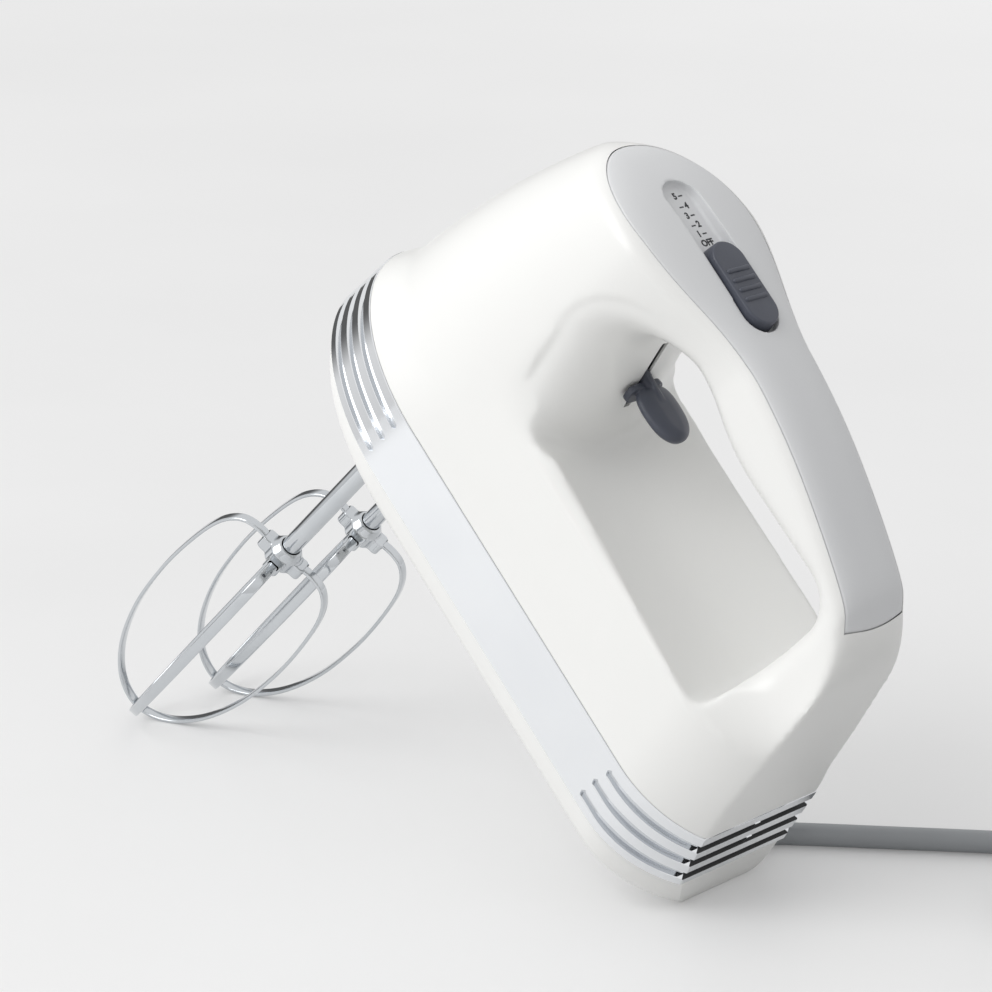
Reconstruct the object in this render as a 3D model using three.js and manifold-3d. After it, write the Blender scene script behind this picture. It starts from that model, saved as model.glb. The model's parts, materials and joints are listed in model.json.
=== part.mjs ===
// Hand mixer with two beaters, standing on its heel and its beater tips.
// Everything is modelled in the mixer's own axes, in millimetres: x runs from the heel to the nose,
// y to the mixer's left, z from the underside to the handle. One group then tips the mixer back
// to the angle at which it stands on a worktop.
import * as THREE from "three";
import { mergeVertices } from "three/addons/utils/BufferGeometryUtils.js";
import Module from "manifold-3d";

const wasm = await Module();
wasm.setup();

// ------------------------------------------------------------------ driving dimensions
const GAP = 0.3; // between pieces that seat on each other
const WALL = 2.5; // moulded walls

// Levels of the shell, measured up from the underside
const BASE_TOP = 13; // bottom cover meets the trim band
const SEAM = 33; // trim band meets the housing
const CREASE = 46; // the skirt above the seam turns into the side wall
const SIDE_HALF = 40.2; // half width at the seam
const SKIRT_LEAN = 0.28; // inward, per mm of height, from the seam to the crease
const WALL_LEAN = 0.13; // the same above the crease
const WALL_EASE = 0.0004; // the lean fades towards the handle
const BAND_LEAN = 0.14; // the band spreads downward
const CREASE_SOFT = 1.4; // how far the crease is rounded

// Rear face: a raked flat face with soft corners
const REAR_X = -95; // at the seam
const REAR_RAKE = 0.17;
const REAR_BOW = 0.0015;
const REAR_RAKE_LOW = 0.265; // below the seam
const REAR_HALF = 26.3; // half width of the flat at the seam
const REAR_TAPER = 0.135;
const REAR_TAPER_LOW = 0.1;
const CORNER_REACH = 29.5; // along x, from the rear face to the straight side
const CORNER_R = 42;

// Nose
const NOSE_X = 108.5; // tip at the seam
const NOSE_SPREAD = 0.075; // the tip moves out below the seam
const NOSE_SKIRT = 5.5; // how far the skirt stands out at the tip
const NOSE_LEAN = 0.11;
const NOSE_BOW = 0.0018;
const NOSE_LENGTH = 57.5; // length of the elliptical nose at the seam
const NOSE_SHORTENS = 0.2; // per mm of height

// Handle
const HANDLE_HALF = 15.8;
const WAIST_FRONT = 48; // x where the nose starts to narrow into the handle
const WAIST_REAR = 0; // x where the handle has its own width
const WAIST_LOW = 63; // height where the rear post starts to narrow
const WAIST_HIGH = 90;
const CROWN = 9; // height of the rounding along the top
const CROWN_POWER = 3.2;
const TOP_LINE = [ // side view of the top, heel to nose
  [-77.4, 98.5], [-73.6, 108], [-64, 115.6], [-30, 126.6], [-2, 131.8], [28, 133.4],
  [54, 132.2], [70, 128.2], [80, 122.4], [87.5, 114.5],
];

// Finger opening, at mid width: corner x, corner height, corner radius
const OPENING = [
  [20.3, 58, 5], [33.5, 120.5, 14], [-14, 105.6, 60], [-64.5, 106.3, 12], [-66, 53, 8],
];
const FRONT_FLARE = 17; // the front wall bulges towards the hand by this much
const HANDLE_FLARE = 8; // rounding under the handle
const POST_FLARE = 7; // rounding of the rear post
const SADDLE_DISH = 8; // the saddle is lowest at mid width
const SADDLE_HALF = 34;

// Handle cover
const COVER_T = 3;
const COVER_REAR_X = -72.5;
const COVER_FRONT_X = 77.5;
const COVER_HALF_REAR = 13.3;
const COVER_HALF_FRONT = 24;
const COVER_LEDGE = 3; // shelf that carries it
const COVER_SHELF_T = 2.2;

// Speed slider, its recess in the cover and the slot for its stem
const RECESS_X = [5, 63];
const RECESS_HALF = 7.8;
const RECESS_Z = 129.6; // height of the recess floor
const TRAY_T = 1.8; // the cover is drawn down into a tray under the recess
const SLIDER_X = [8, 39]; // switched off
const SLIDER_HALF = 7.4;
const SLIDER_TALL = 4.6; // above the recess floor
const SLIDER_TOP = RECESS_Z + SLIDER_TALL;
const SLIDER_EDGE = 1.6; // the rounding of its rim
const RIB_PITCH = 4;
const RIB_GROOVE = [1.2, 0.9]; // width and depth of the grooves between its ribs
const SLIDER_TRAVEL = 22;
const STEM_AT = 2; // from the slider's rear end
const STEM_LENGTH = 6;
const STEM_HALF = 1.6;
const STEM_Z = 122;

// Trim band and its vent grooves
const BAND_T = 2;
const GROOVES = [28.5, 22.8, 17.1]; // heights
const GROOVE_HEIGHT = 2.2;
const GROOVE_DEPTH = 1.1;
const GROOVE_NOSE_X = 54; // the nose grooves run forward of this
const GROOVE_REAR_X = -63; // the rear grooves run behind this
const SLOT_HALF = 20; // the rear grooves are open slots across the rear face
const SLOT_BRIDGE = 2.4;

// Motor, along x
const SHAFT_Z = 31;
const SHAFT_R = 3;
const SHAFT_X = [-65, 84];
const STATOR_X = [-35, -9];
const STATOR_HALF = [26, 20]; // in y and z
const BORE = 16.2;
const POLE_ANGLE = 42; // degrees, half the width of a pole
const COIL_ANGLE = 60;
const COIL_R = [16.9, 20.4];
const COIL_END = 5; // how far the coils stand out of the stator
const ARMATURE_R = 15.5;
const ARMATURE_SLOTS = 12;
const SLOT_DEPTH = 5;
const ARMATURE_SLOT_HALF = 1;
const WINDING_R = 12.6;
const COMMUTATOR_X = [-53, -45];
const COMMUTATOR_R = 8;
const BRUSH = [5, 5, 6.5]; // along x, along z, length
const BRUSH_CASE_END = 20.5; // y
const BRACKET_X = [-61, -57.5];
const FAN_X = [2, 12];
const FAN_R = 18;
const FAN_BLADES = 7;
const BEARING_R = 7;
const BOLT_Y = 23.4;
const BOLT_R = 1.5;

// Gear train: one worm turns two wheels the opposite ways
const BEATER_X = 62;
const BEATER_Y = 18;
const GEAR_TEETH = 28;
const WORM_STARTS = 2;
const PITCH = Math.PI; // from tooth to tooth
const GEAR_R = (PITCH * GEAR_TEETH) / (2 * Math.PI);
const WORM_R = BEATER_Y - GEAR_R;
const WORM_PITCHES = 4;
const TOOTH = 0.75; // height of a tooth above the pitch line, and its depth below
const GEAR_WIDTH = 9;
const SPINDLE_R = 5;
const BORE_R = 3.4;
const SPINDLE_Z = [1, 38.5];
const FRAME_X = [43, 81.5]; // outer faces of the two bearing walls
const FRAME_WALL = 3.5;
const FRAME_Z = [14, 17]; // the plate
const STRAP_Z = [37.6, 39.2];

// Beaters
const BEATER_STEM_R = 3.1;
const STEM_TOP = 35.7;
const HUB_Z = -63.5;
const HUB_R = 5;
const ARM_REACH = 8.6;
const WIRE_WIDTH = 3.4;
const WIRE_T = 1.2;
const CAGE_PHASE = 22.5; // degrees
const CAGE = [ // radius and height along one wire, hub to tip
  [3.4, -63.5], [11, -62.4], [17.5, -64.5], [22.2, -72.5], [24.6, -88], [25.2, -106], [23.4, -126],
  [18.2, -144], [10, -156.4], [0, -161],
];
const LOOP_STEP = 2.2; // the inner loop passes this far above the outer one
const COLLAR_Z = -8;

// Eject lever, plate and spring
const PIVOT = [45, 86];
const PIN_R = 2;
const EJECT_STROKE = 6.5;
const SLOT_Z = [73, 98.5];
const LEVER_HALF = 2;
const LEVER_REACH = 16.8; // from the pivot to the round tip that presses the plate
const LEVER_TIP_R = 2;
const LEVER_EYE_R = 4.4;
const PADDLE_X = [3.9, 23];
const PADDLE_HALF = 7.2;
const PADDLE_Z = 84;
const EJECT_BAR_Z = [50, 53.5];
const PUSHER_R = 2.6;

// Screws
const HOUSING_SCREWS = [[NOSE_X - 15.5, 0], [REAR_X + 10, 15], [REAR_X + 10, -15]];
const FRAME_SCREWS = [[50, 29.5], [50, -29.5], [82, 20], [82, -20]];
const SCREW_R = 1.5;
const BOSS_R = 4;

// Cord
const CORD_R = 3.5;
const SWIVEL_X = -61;
const SWIVEL_R = 10;
const SWIVEL_LOW = -12.5;
const SWIVEL_YAW = 225; // degrees in the mixer's x-y plane
const RELIEF_Z = -6.5;
const RELIEF = [6, 31]; // from the swivel's axis

// ------------------------------------------------------------------ helpers
const clamp01 = (v) => Math.min(1, Math.max(0, v));
const smooth = (v) => clamp01(v) ** 2 * (3 - 2 * clamp01(v));
const lerp = THREE.MathUtils.lerp;
const rad = THREE.MathUtils.degToRad;

function solidOf(geometry) {
  const g = geometry.clone();
  g.deleteAttribute("normal");
  g.deleteAttribute("uv");
  const merged = mergeVertices(g, 1e-4);
  const kept = [];
  const index = merged.index.array;
  for (let i = 0; i < index.length; i += 3) {
    const [a, b, c] = [index[i], index[i + 1], index[i + 2]];
    if (a !== b && b !== c && c !== a) kept.push(a, b, c);
  }
  return new wasm.Manifold(
    new wasm.Mesh({
      numProp: 3,
      vertProperties: merged.attributes.position.array,
      triVerts: new Uint32Array(kept),
    }),
  );
}

function geometryOf(solid) {
  const m = solid.getMesh();
  const g = new THREE.BufferGeometry();
  g.setAttribute("position", new THREE.BufferAttribute(m.vertProperties, 3));
  g.setIndex(new THREE.BufferAttribute(m.triVerts, 1));
  g.computeVertexNormals();
  return g;
}

const cut = (a, ...others) => others.reduce((s, o) => s.subtract(o), a);
const join = (a, ...others) => others.reduce((s, o) => s.add(o), a);

// A closed body through rings of equal count. Each ring is symmetric about y = 0 and runs from its
// lower left, over the top, to its lower right, so the ends close with strips across the ring.
function loft(rings) {
  const n = rings[0].length;
  const position = rings.flat().flatMap((p) => [p.x, p.y, p.z]);
  const index = [];
  const quad = (a, b, c, d) => index.push(a, b, c, a, c, d);
  for (let r = 0; r + 1 < rings.length; r++)
    for (let i = 0; i < n; i++) {
      const j = (i + 1) % n;
      quad(r * n + i, r * n + j, (r + 1) * n + j, (r + 1) * n + i);
    }
  const last = (rings.length - 1) * n;
  for (let i = 0; i < n / 2 - 1; i++) {
    quad(i, n - 1 - i, n - 2 - i, i + 1);
    quad(last + i, last + i + 1, last + n - 2 - i, last + n - 1 - i);
  }
  const g = new THREE.BufferGeometry();
  g.setAttribute("position", new THREE.Float32BufferAttribute(position, 3));
  g.setIndex(index);
  return g;
}

// A closed body through stacked plan rings, closed at both ends by fans from the ring's middle.
function stack(rings) {
  const n = rings[0].length;
  const middle = (ring) =>
    ring.reduce((s, p) => s.add(p), new THREE.Vector3()).divideScalar(n);
  const points = [...rings.flat(), middle(rings[0]), middle(rings.at(-1))];
  const index = [];
  const low = rings.length * n;
  for (let r = 0; r + 1 < rings.length; r++)
    for (let i = 0; i < n; i++) {
      const j = (i + 1) % n;
      index.push(r * n + i, r * n + j, (r + 1) * n + j, r * n + i, (r + 1) * n + j, (r + 1) * n + i);
    }
  const last = (rings.length - 1) * n;
  for (let i = 0; i < n; i++) {
    const j = (i + 1) % n;
    index.push(low, j, i, low + 1, last + i, last + j);
  }
  const g = new THREE.BufferGeometry();
  g.setAttribute(
    "position",
    new THREE.Float32BufferAttribute(points.flatMap((p) => [p.x, p.y, p.z]), 3),
  );
  g.setIndex(index);
  return g;
}

// A prism with a plan outline, from z0 to z1.
function prism(shape, z0, z1, curveSegments = 6) {
  return new THREE.ExtrudeGeometry(shape, {
    depth: z1 - z0,
    bevelEnabled: false,
    curveSegments,
  }).translate(0, 0, z0);
}

// A prism whose outline is drawn in x and z, centred on y.
function sidePrism(shape, width, y = 0, curveSegments = 8) {
  return new THREE.ExtrudeGeometry(shape, { depth: width, bevelEnabled: false, curveSegments })
    .rotateX(Math.PI / 2)
    .translate(0, y + width / 2, 0);
}

// A revolved body about a line along z through (x, y). Profile points are radius and height.
function turned(profile, x, y, segments = 16) {
  return new THREE.LatheGeometry(
    profile.map(([r, z]) => new THREE.Vector2(r, z)),
    segments,
  )
    .rotateX(Math.PI / 2)
    .translate(x, y, 0);
}

// A revolved body about the motor axis. Profile points are radius and x.
function turnedAlongX(profile, segments = 16, y = 0, z = SHAFT_Z) {
  return new THREE.LatheGeometry(
    profile.map(([r, x]) => new THREE.Vector2(r, x)),
    segments,
  )
    .rotateZ(-Math.PI / 2)
    .translate(0, y, z);
}

// The closed profile of a ring or bush.
const ringProfile = (r0, r1, a, b) => [[r0, a], [r1, a], [r1, b], [r0, b], [r0, a]];
const rod = (r, a, b) => [[0, a], [r, a], [r, b], [0, b]];

function box(x0, x1, y0, y1, z0, z1) {
  return new THREE.BoxGeometry(x1 - x0, y1 - y0, z1 - z0).translate(
    (x0 + x1) / 2, (y0 + y1) / 2, (z0 + z1) / 2,
  );
}

// A closed outline with rounded corners, from corners given as x, y, radius.
function rounded(corners) {
  const shape = new THREE.Shape();
  const n = corners.length;
  corners.forEach(([x, y, r], i) => {
    const here = new THREE.Vector2(x, y);
    const before = new THREE.Vector2(...corners[(i + n - 1) % n]).sub(here).normalize();
    const after = new THREE.Vector2(...corners[(i + 1) % n]).sub(here).normalize();
    const half = Math.acos(THREE.MathUtils.clamp(before.dot(after), -1, 1)) / 2;
    const reach = r / Math.tan(half);
    const middle = before.clone().add(after).normalize().multiplyScalar(r / Math.sin(half)).add(here);
    const from = before.clone().multiplyScalar(reach).add(here);
    const to = after.clone().multiplyScalar(reach).add(here);
    const turn = before.x * after.y - before.y * after.x;
    shape.absarc(
      middle.x, middle.y, r,
      Math.atan2(from.y - middle.y, from.x - middle.x),
      Math.atan2(to.y - middle.y, to.x - middle.x),
      turn > 0,
    );
  });
  shape.closePath();
  return shape;
}

function capsule(x0, x1, half) {
  const s = new THREE.Shape();
  s.absarc(x1 - half, 0, half, -Math.PI / 2, Math.PI / 2, false);
  s.absarc(x0 + half, 0, half, Math.PI / 2, (3 * Math.PI) / 2, false);
  return s;
}

// ------------------------------------------------------------------ the form of the shell
const rearX = (z) => {
  const h = z - SEAM;
  return h < 0 ? REAR_X + REAR_RAKE_LOW * h : REAR_X + REAR_RAKE * h + REAR_BOW * h * h;
};
const rearHalf = (z) => REAR_HALF - (z < SEAM ? -REAR_TAPER_LOW : REAR_TAPER) * (z - SEAM);

// Straight side wall: two leaning lines that meet in a soft crease.
function wallHalf(z) {
  const crease = SIDE_HALF - SKIRT_LEAN * (CREASE - SEAM);
  if (z < SEAM) return SIDE_HALF + BAND_LEAN * (SEAM - z);
  const h = z - CREASE;
  const upper = crease - WALL_LEAN * h + WALL_EASE * h * Math.abs(h);
  const rise = (WALL_LEAN - SKIRT_LEAN) * h; // positive below the crease
  return upper + (rise + Math.hypot(rise, (SKIRT_LEAN - WALL_LEAN) * CREASE_SOFT)) / 2;
}

function noseX(z) {
  if (z < SEAM) return NOSE_X + NOSE_SPREAD * (SEAM - z);
  const h = Math.max(0, z - CREASE);
  const skirt = NOSE_SKIRT * (1 - clamp01((z - SEAM) / (CREASE - SEAM))) ** 1.3;
  return NOSE_X - NOSE_SKIRT + skirt - NOSE_LEAN * h - NOSE_BOW * h * h;
}

function sideHalf(x, z) {
  const wide = wallHalf(z);
  const along = smooth((WAIST_FRONT - x) / (WAIST_FRONT - WAIST_REAR));
  const up = 1 - (1 - clamp01((z - WAIST_LOW) / (WAIST_HIGH - WAIST_LOW))) ** 2;
  return wide - (wide - HANDLE_HALF) * along * up;
}

// Half width of the horizontal slice at height z, inset by a wall.
function planHalf(x, z, inset = 0, rearInset = inset) {
  let half = sideHalf(x, z) - inset;
  const tip = noseX(z) - inset;
  const length = NOSE_LENGTH - NOSE_SHORTENS * (z - SEAM);
  const into = (x - (tip - length)) / length;
  if (into > 0) half *= Math.sqrt(Math.max(0, 1 - into * into));
  const back = 1 - (x - rearX(z) - rearInset) / CORNER_REACH;
  if (back > 0) {
    const sweep = CORNER_REACH / CORNER_R;
    const arc = (k) => 1 - Math.sqrt(1 - (Math.min(1, k) * sweep) ** 2);
    half -= ((half - (rearHalf(z) - inset)) * arc(back)) / arc(1);
  }
  return half;
}

const topCurve = new THREE.SplineCurve(TOP_LINE.map(([x, z]) => new THREE.Vector2(x, z)));
const topSamples = topCurve.getPoints(200);
function topZ(x) {
  const i = topSamples.findIndex((p) => p.x >= x);
  if (i === 0) return topSamples[0].y;
  if (i < 0) return topSamples.at(-1).y;
  const [a, b] = [topSamples[i - 1], topSamples[i]];
  return lerp(a.y, b.y, (x - a.x) / (b.x - a.x));
}

// One cross-section of the housing, at the share t of its length, from z0 up and over.
function section(t, z0, inset, topInset, wallSteps, crownSteps) {
  const x = (z) => lerp(rearX(z) + inset, noseX(z) - inset, t);
  let [low, high] = [TOP_LINE[0][1] - 20, 140];
  for (let i = 0; i < 30; i++) {
    const mid = (low + high) / 2;
    if (topZ(x(mid)) - topInset > mid) low = mid;
    else high = mid;
  }
  const top = low;
  const shoulder = top - CROWN;
  const side = [];
  const levels = [z0, lerp(z0, CREASE, 0.45), CREASE - CREASE_SOFT, CREASE + CREASE_SOFT];
  for (let i = 1; i < wallSteps; i++) levels.push(lerp(CREASE + CREASE_SOFT, shoulder, i / wallSteps));
  for (const z of levels) side.push(new THREE.Vector3(x(z), planHalf(x(z), z, inset), z));
  const half = planHalf(x(shoulder), shoulder, inset);
  for (let i = 0; i <= crownSteps; i++) {
    const a = (i / crownSteps) * (Math.PI / 2);
    const z = shoulder + CROWN * Math.sin(a) ** (2 / CROWN_POWER);
    const narrowing = Math.max(0, Math.cos(a)) ** (2 / CROWN_POWER);
    const local = Math.min(half, planHalf(x(z), z, inset));
    side.push(new THREE.Vector3(x(z), (i === crownSteps ? 0 : local) * narrowing, z));
  }
  const right = side.slice(0, -1).reverse().map((p) => new THREE.Vector3(p.x, -p.y, p.z));
  return [...side, ...right];
}

// The closed outer form of the housing, or the same form inset by a wall.
function bodyForm({ z0 = SEAM, inset = 0, topInset = 0, stations = 24, wallSteps = 5, crownSteps = 4 }) {
  const rings = [];
  for (let i = 0; i <= stations; i++) {
    const t = (1 - Math.cos((i / stations) * Math.PI)) / 2;
    rings.push(section(t, z0, inset, topInset, wallSteps, crownSteps));
  }
  return solidOf(loft(rings));
}

// The body that the finger opening takes out, grown outward by a wall.
function openingForm(grow, outlineSteps, depthSteps) {
  const outline = rounded(OPENING).getSpacedPoints(outlineSteps).slice(0, -1);
  const n = outline.length;
  const columns = outline.map((p, i) => {
    const a = outline[(i + n - 1) % n];
    const b = outline[(i + 1) % n];
    const normal = new THREE.Vector2(b.y - a.y, a.x - b.x).normalize();
    const [front, rear] = [Math.max(0, normal.x) ** 2, Math.max(0, -normal.x) ** 2];
    const [up, down] = [Math.max(0, normal.y) ** 2, Math.max(0, -normal.y) ** 2];
    const flare = FRONT_FLARE * front + POST_FLARE * rear + HANDLE_FLARE * up - SADDLE_DISH * down;
    const wide = p.clone().addScaledVector(normal, 0.7 * flare);
    const half = planHalf(wide.x, wide.y);
    const depth = half * front + POST_FLARE * rear + HANDLE_FLARE * up + SADDLE_HALF * down;
    return { p, normal, flare, half, depth: Math.min(depth, half), down };
  });
  const ringAt = (share, beyond) =>
    columns.map(({ p, normal, flare, half, depth, down }) => {
      const y = half * share;
      const into = clamp01((y - (half - depth)) / depth);
      const round = 1 - Math.sqrt(1 - into * into);
      const out = grow + flare * lerp(round, into ** 1.7, down);
      const q = p.clone().addScaledVector(normal, out + (beyond ? 0.6 : 0));
      return new THREE.Vector3(q.x, y + beyond, q.y);
    });
  const shares = [];
  for (let i = 0; i <= depthSteps; i++) shares.push(Math.sin((i / depthSteps) * (Math.PI / 2)));
  const left = shares.map((s) => ringAt(s, 0));
  left.push(ringAt(1, 12));
  const right = left.slice(1).map((ring) => ring.map((v) => new THREE.Vector3(v.x, -v.y, v.z)));
  return solidOf(stack([...left.reverse(), ...right]));
}

// Plan outline of the shell at one level, from the nose round anticlockwise.
function planRing(z, inset = 0, rearInset = inset, steps = 14) {
  const tip = noseX(z) - inset;
  const heel = rearX(z) + rearInset;
  const left = [];
  for (let i = 0; i <= steps; i++) {
    const x = lerp(tip, heel, (1 - Math.cos((i / steps) * Math.PI)) / 2);
    const y = i === 0 ? 0 : planHalf(x, z, inset, rearInset);
    left.push(new THREE.Vector3(x, y, z));
  }
  const right = left.slice(1).reverse().map((p) => new THREE.Vector3(p.x, -p.y, p.z));
  return [...left, ...right];
}

// Plan outline of the handle cover: a spoon, square at the heel and round at the nose.
function coverOutline(grow) {
  const [heel, start, broad] = [COVER_REAR_X - grow, -5, 50];
  const [narrow, wide] = [COVER_HALF_REAR + grow, COVER_HALF_FRONT + grow];
  const s = new THREE.Shape();
  s.moveTo(heel, -narrow);
  s.lineTo(start, -narrow);
  s.bezierCurveTo(start + 23, -narrow, broad - 22, -wide, broad, -wide);
  s.absellipse(broad, 0, COVER_FRONT_X + grow - broad, wide, -Math.PI / 2, Math.PI / 2, false);
  s.bezierCurveTo(broad - 22, wide, start + 23, narrow, start, narrow);
  s.lineTo(heel, narrow);
  s.closePath();
  return s;
}

// ------------------------------------------------------------------ housing and covers
const ABOVE_OPENING = OPENING[0][1] + 12; // cutters for the cover start here and end above the top
const ABOVE_TOP = RECESS_Z + 20;
const OPENING_STEPS = [40, 5]; // round the outline and from mid width to the side
const outerBody = bodyForm({});
const coverBed = bodyForm({ topInset: COVER_T });

// A bearing wall, rib or boss inside the housing is drawn long and trimmed to the shell's form.
function housing() {
  const shelf = COVER_T + GAP + COVER_SHELF_T;
  const coarse = { stations: 14, wallSteps: 3, crownSteps: 2 };
  const cavity = bodyForm({ z0: SEAM - 1, inset: WALL, topInset: shelf, ...coarse });
  const opening = openingForm(0, ...OPENING_STEPS);
  const pocket = solidOf(prism(coverOutline(GAP), ABOVE_OPENING, ABOVE_TOP)).subtract(
    coverBed.translate([0, 0, -GAP]),
  );
  const hatch = solidOf(prism(coverOutline(-COVER_LEDGE), ABOVE_OPENING, ABOVE_TOP, 6)).subtract(
    coverBed.translate([0, 0, -GAP - COVER_SHELF_T - 3]),
  );
  const shell = cut(outerBody, cavity.subtract(openingForm(WALL, ...OPENING_STEPS)), opening, pocket, hatch);
  const cheeks = [-1, 1].map((side) => {
    const outline = new THREE.Shape();
    const [x, z] = PIVOT;
    outline.moveTo(x - 25, z - 9);
    outline.lineTo(x - 2, z - 7);
    outline.absarc(x, z, 5.5, -Math.PI / 2, Math.PI / 2, false);
    outline.lineTo(x - 25, z + 9);
    outline.closePath();
    const plate = solidOf(sidePrism(outline, 2.2, side * (LEVER_HALF + 2.1)));
    const hole = turnedAcross(PIN_R + GAP, 20, PIVOT);
    return plate.subtract(hole).intersect(outerBody).subtract(opening);
  });
  const bosses = HOUSING_SCREWS.map(([x, y]) => {
    const out = Math.sign(x);
    const post = turned(rod(BOSS_R, BASE_TOP + 1.5, 56), x, y, 10);
    const web = box(x, x + out * 12, y - 1.5, y + 1.5, SEAM + 1, 56);
    const reach = out > 0 ? web : box(x - 12, x, y - 1.5, y + 1.5, SEAM + 1, 56);
    const pilot = turned(rod(SCREW_R + GAP, BASE_TOP, 34), x, y, 8);
    const whole = solidOf(post).add(solidOf(reach));
    const below = solidOf(turned(rod(BOSS_R + 1, BASE_TOP, SEAM), x, y, 10));
    return whole.intersect(outerBody.add(below)).subtract(solidOf(pilot));
  });
  const ribs = [[-36, 117], [-11, 112.8], [1, 120], [15, 120]].map(([x, z]) =>
    solidOf(box(x - 1, x + 1, -9, 9, 100, z - GAP)).subtract(opening),
  );
  const slot = sidePrism(
    rounded([[15, SLOT_Z[0], 1], [36, SLOT_Z[0], 1], [36, SLOT_Z[1], 1], [15, SLOT_Z[1], 1]]),
    2 * LEVER_HALF + 1.4,
  );
  return join(shell, ...cheeks, ...bosses, ...ribs).subtract(solidOf(slot));
}

// A cylinder across the mixer, through a point given in x and z.
function turnedAcross(r, length, [x, z], segments = 16) {
  return solidOf(
    new THREE.CylinderGeometry(r, r, length, segments).translate(x, 0, z),
  );
}

function handleCover() {
  const blank = outerBody.intersect(solidOf(prism(coverOutline(0), ABOVE_OPENING, ABOVE_TOP)))
    .subtract(coverBed);
  const [x0, x1] = RECESS_X;
  const trayOutline = capsule(x0 - TRAY_T, x1 + TRAY_T, RECESS_HALF + TRAY_T);
  const tray = prism(trayOutline, RECESS_Z - TRAY_T, RECESS_Z + 3);
  const recess = prism(capsule(x0, x1, RECESS_HALF), RECESS_Z, ABOVE_TOP);
  const stem = SLIDER_X[0] + STEM_AT;
  const [slot0, slot1] = [stem - 0.4, stem + STEM_LENGTH + SLIDER_TRAVEL + 0.6];
  const slot = box(slot0, slot1, -STEM_HALF - GAP, STEM_HALF + GAP, RECESS_Z - 2 * TRAY_T, ABOVE_TOP);
  const inside = outerBody.intersect(solidOf(tray));
  return cut(blank.add(inside), solidOf(recess), solidOf(slot));
}

function trimBand() {
  const levels = [BASE_TOP, (BASE_TOP + SEAM) / 2, SEAM - GAP];
  const outer = solidOf(stack(levels.map((z) => planRing(z))));
  const inner = solidOf(stack([BASE_TOP - 1, ...levels, SEAM].map((z) => planRing(z, BAND_T))));
  const floor = solidOf(stack([BASE_TOP - 1, ...levels, SEAM].map((z) => planRing(z, GROOVE_DEPTH))));
  const grooves = GROOVES.map((z) => {
    const [low, high] = [z - GROOVE_HEIGHT / 2, z + GROOVE_HEIGHT / 2];
    const ends = join(
      solidOf(box(GROOVE_NOSE_X, NOSE_X + 20, -60, 60, low, high)),
      solidOf(box(REAR_X - 20, GROOVE_REAR_X, -60, 60, low, high)),
    );
    return ends.subtract(floor);
  });
  return cut(outer, inner, ...grooves, ...ventSlots());
}

// Open slots across the rear face; a bridge parts all but the lowest.
function ventSlots() {
  const lowest = Math.min(...GROOVES);
  return GROOVES.map((z) => {
    const half = GROOVE_HEIGHT / 2;
    const whole = box(REAR_X - 20, REAR_X + 14, -SLOT_HALF, SLOT_HALF, z - half, z + half);
    const web = SLOT_BRIDGE / 2;
    const bridge = box(REAR_X - 21, REAR_X + 15, -web, web, z - half - 1, z + half + 1);
    return z === lowest ? solidOf(whole) : solidOf(whole).subtract(solidOf(bridge));
  });
}

// The tub: a rounded lower edge, then a wall that stands inside the trim band.
function bottomCover() {
  const levels = [[0, 10, 2.2], [1, 8.2, 0.7], [4, 5, 0], [BASE_TOP - GAP, 2, 0.4]];
  const lower = solidOf(stack(levels.map(([z, side, rear]) => planRing(z, side, rear))));
  const lip = BAND_T + GAP;
  const upper = [BASE_TOP - 1, SEAM - 2 * GAP].map((z) => planRing(z, lip));
  const hollow = [[WALL, 10], [5, 5 + WALL], [BASE_TOP, lip + WALL], [SEAM + 1, lip + WALL]];
  const inner = solidOf(stack(hollow.map(([z, side]) => planRing(z, side, lip + WALL))));
  const shell = lower.add(solidOf(stack(upper))).subtract(inner);
  const posts = [
    ...HOUSING_SCREWS.map(([x, y]) => turned(rod(BOSS_R + 0.6, 1, BASE_TOP + 1.2), x, y, 10)),
    ...FRAME_SCREWS.map(([x, y]) => turned(rod(BOSS_R - 0.8, 1, FRAME_Z[0] - GAP), x, y, 10)),
    ...[1, -1].map((side) =>
      turned(ringProfile(SPINDLE_R + GAP, SPINDLE_R + 3, 0, 8), BEATER_X, side * BEATER_Y),
    ),
  ];
  const holes = [
    ...HOUSING_SCREWS.map(([x, y]) => turned(rod(SCREW_R + GAP, -1, 40), x, y, 8)),
    ...HOUSING_SCREWS.map(([x, y]) => turned(rod(3.2, -1, 6), x, y, 10)),
    ...FRAME_SCREWS.map(([x, y]) => turned(rod(SCREW_R + GAP, 4, 40), x, y, 8)),
    ...[1, -1].map((side) => turned(rod(SPINDLE_R + GAP, -1, 30), BEATER_X, side * BEATER_Y)),
    turned(rod(SWIVEL_R + GAP, -1, 30), SWIVEL_X, 0, 20),
  ];
  const solid = join(shell, ...posts.map(solidOf));
  return cut(solid, ...holes.map(solidOf), ...ventSlots());
}

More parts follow.
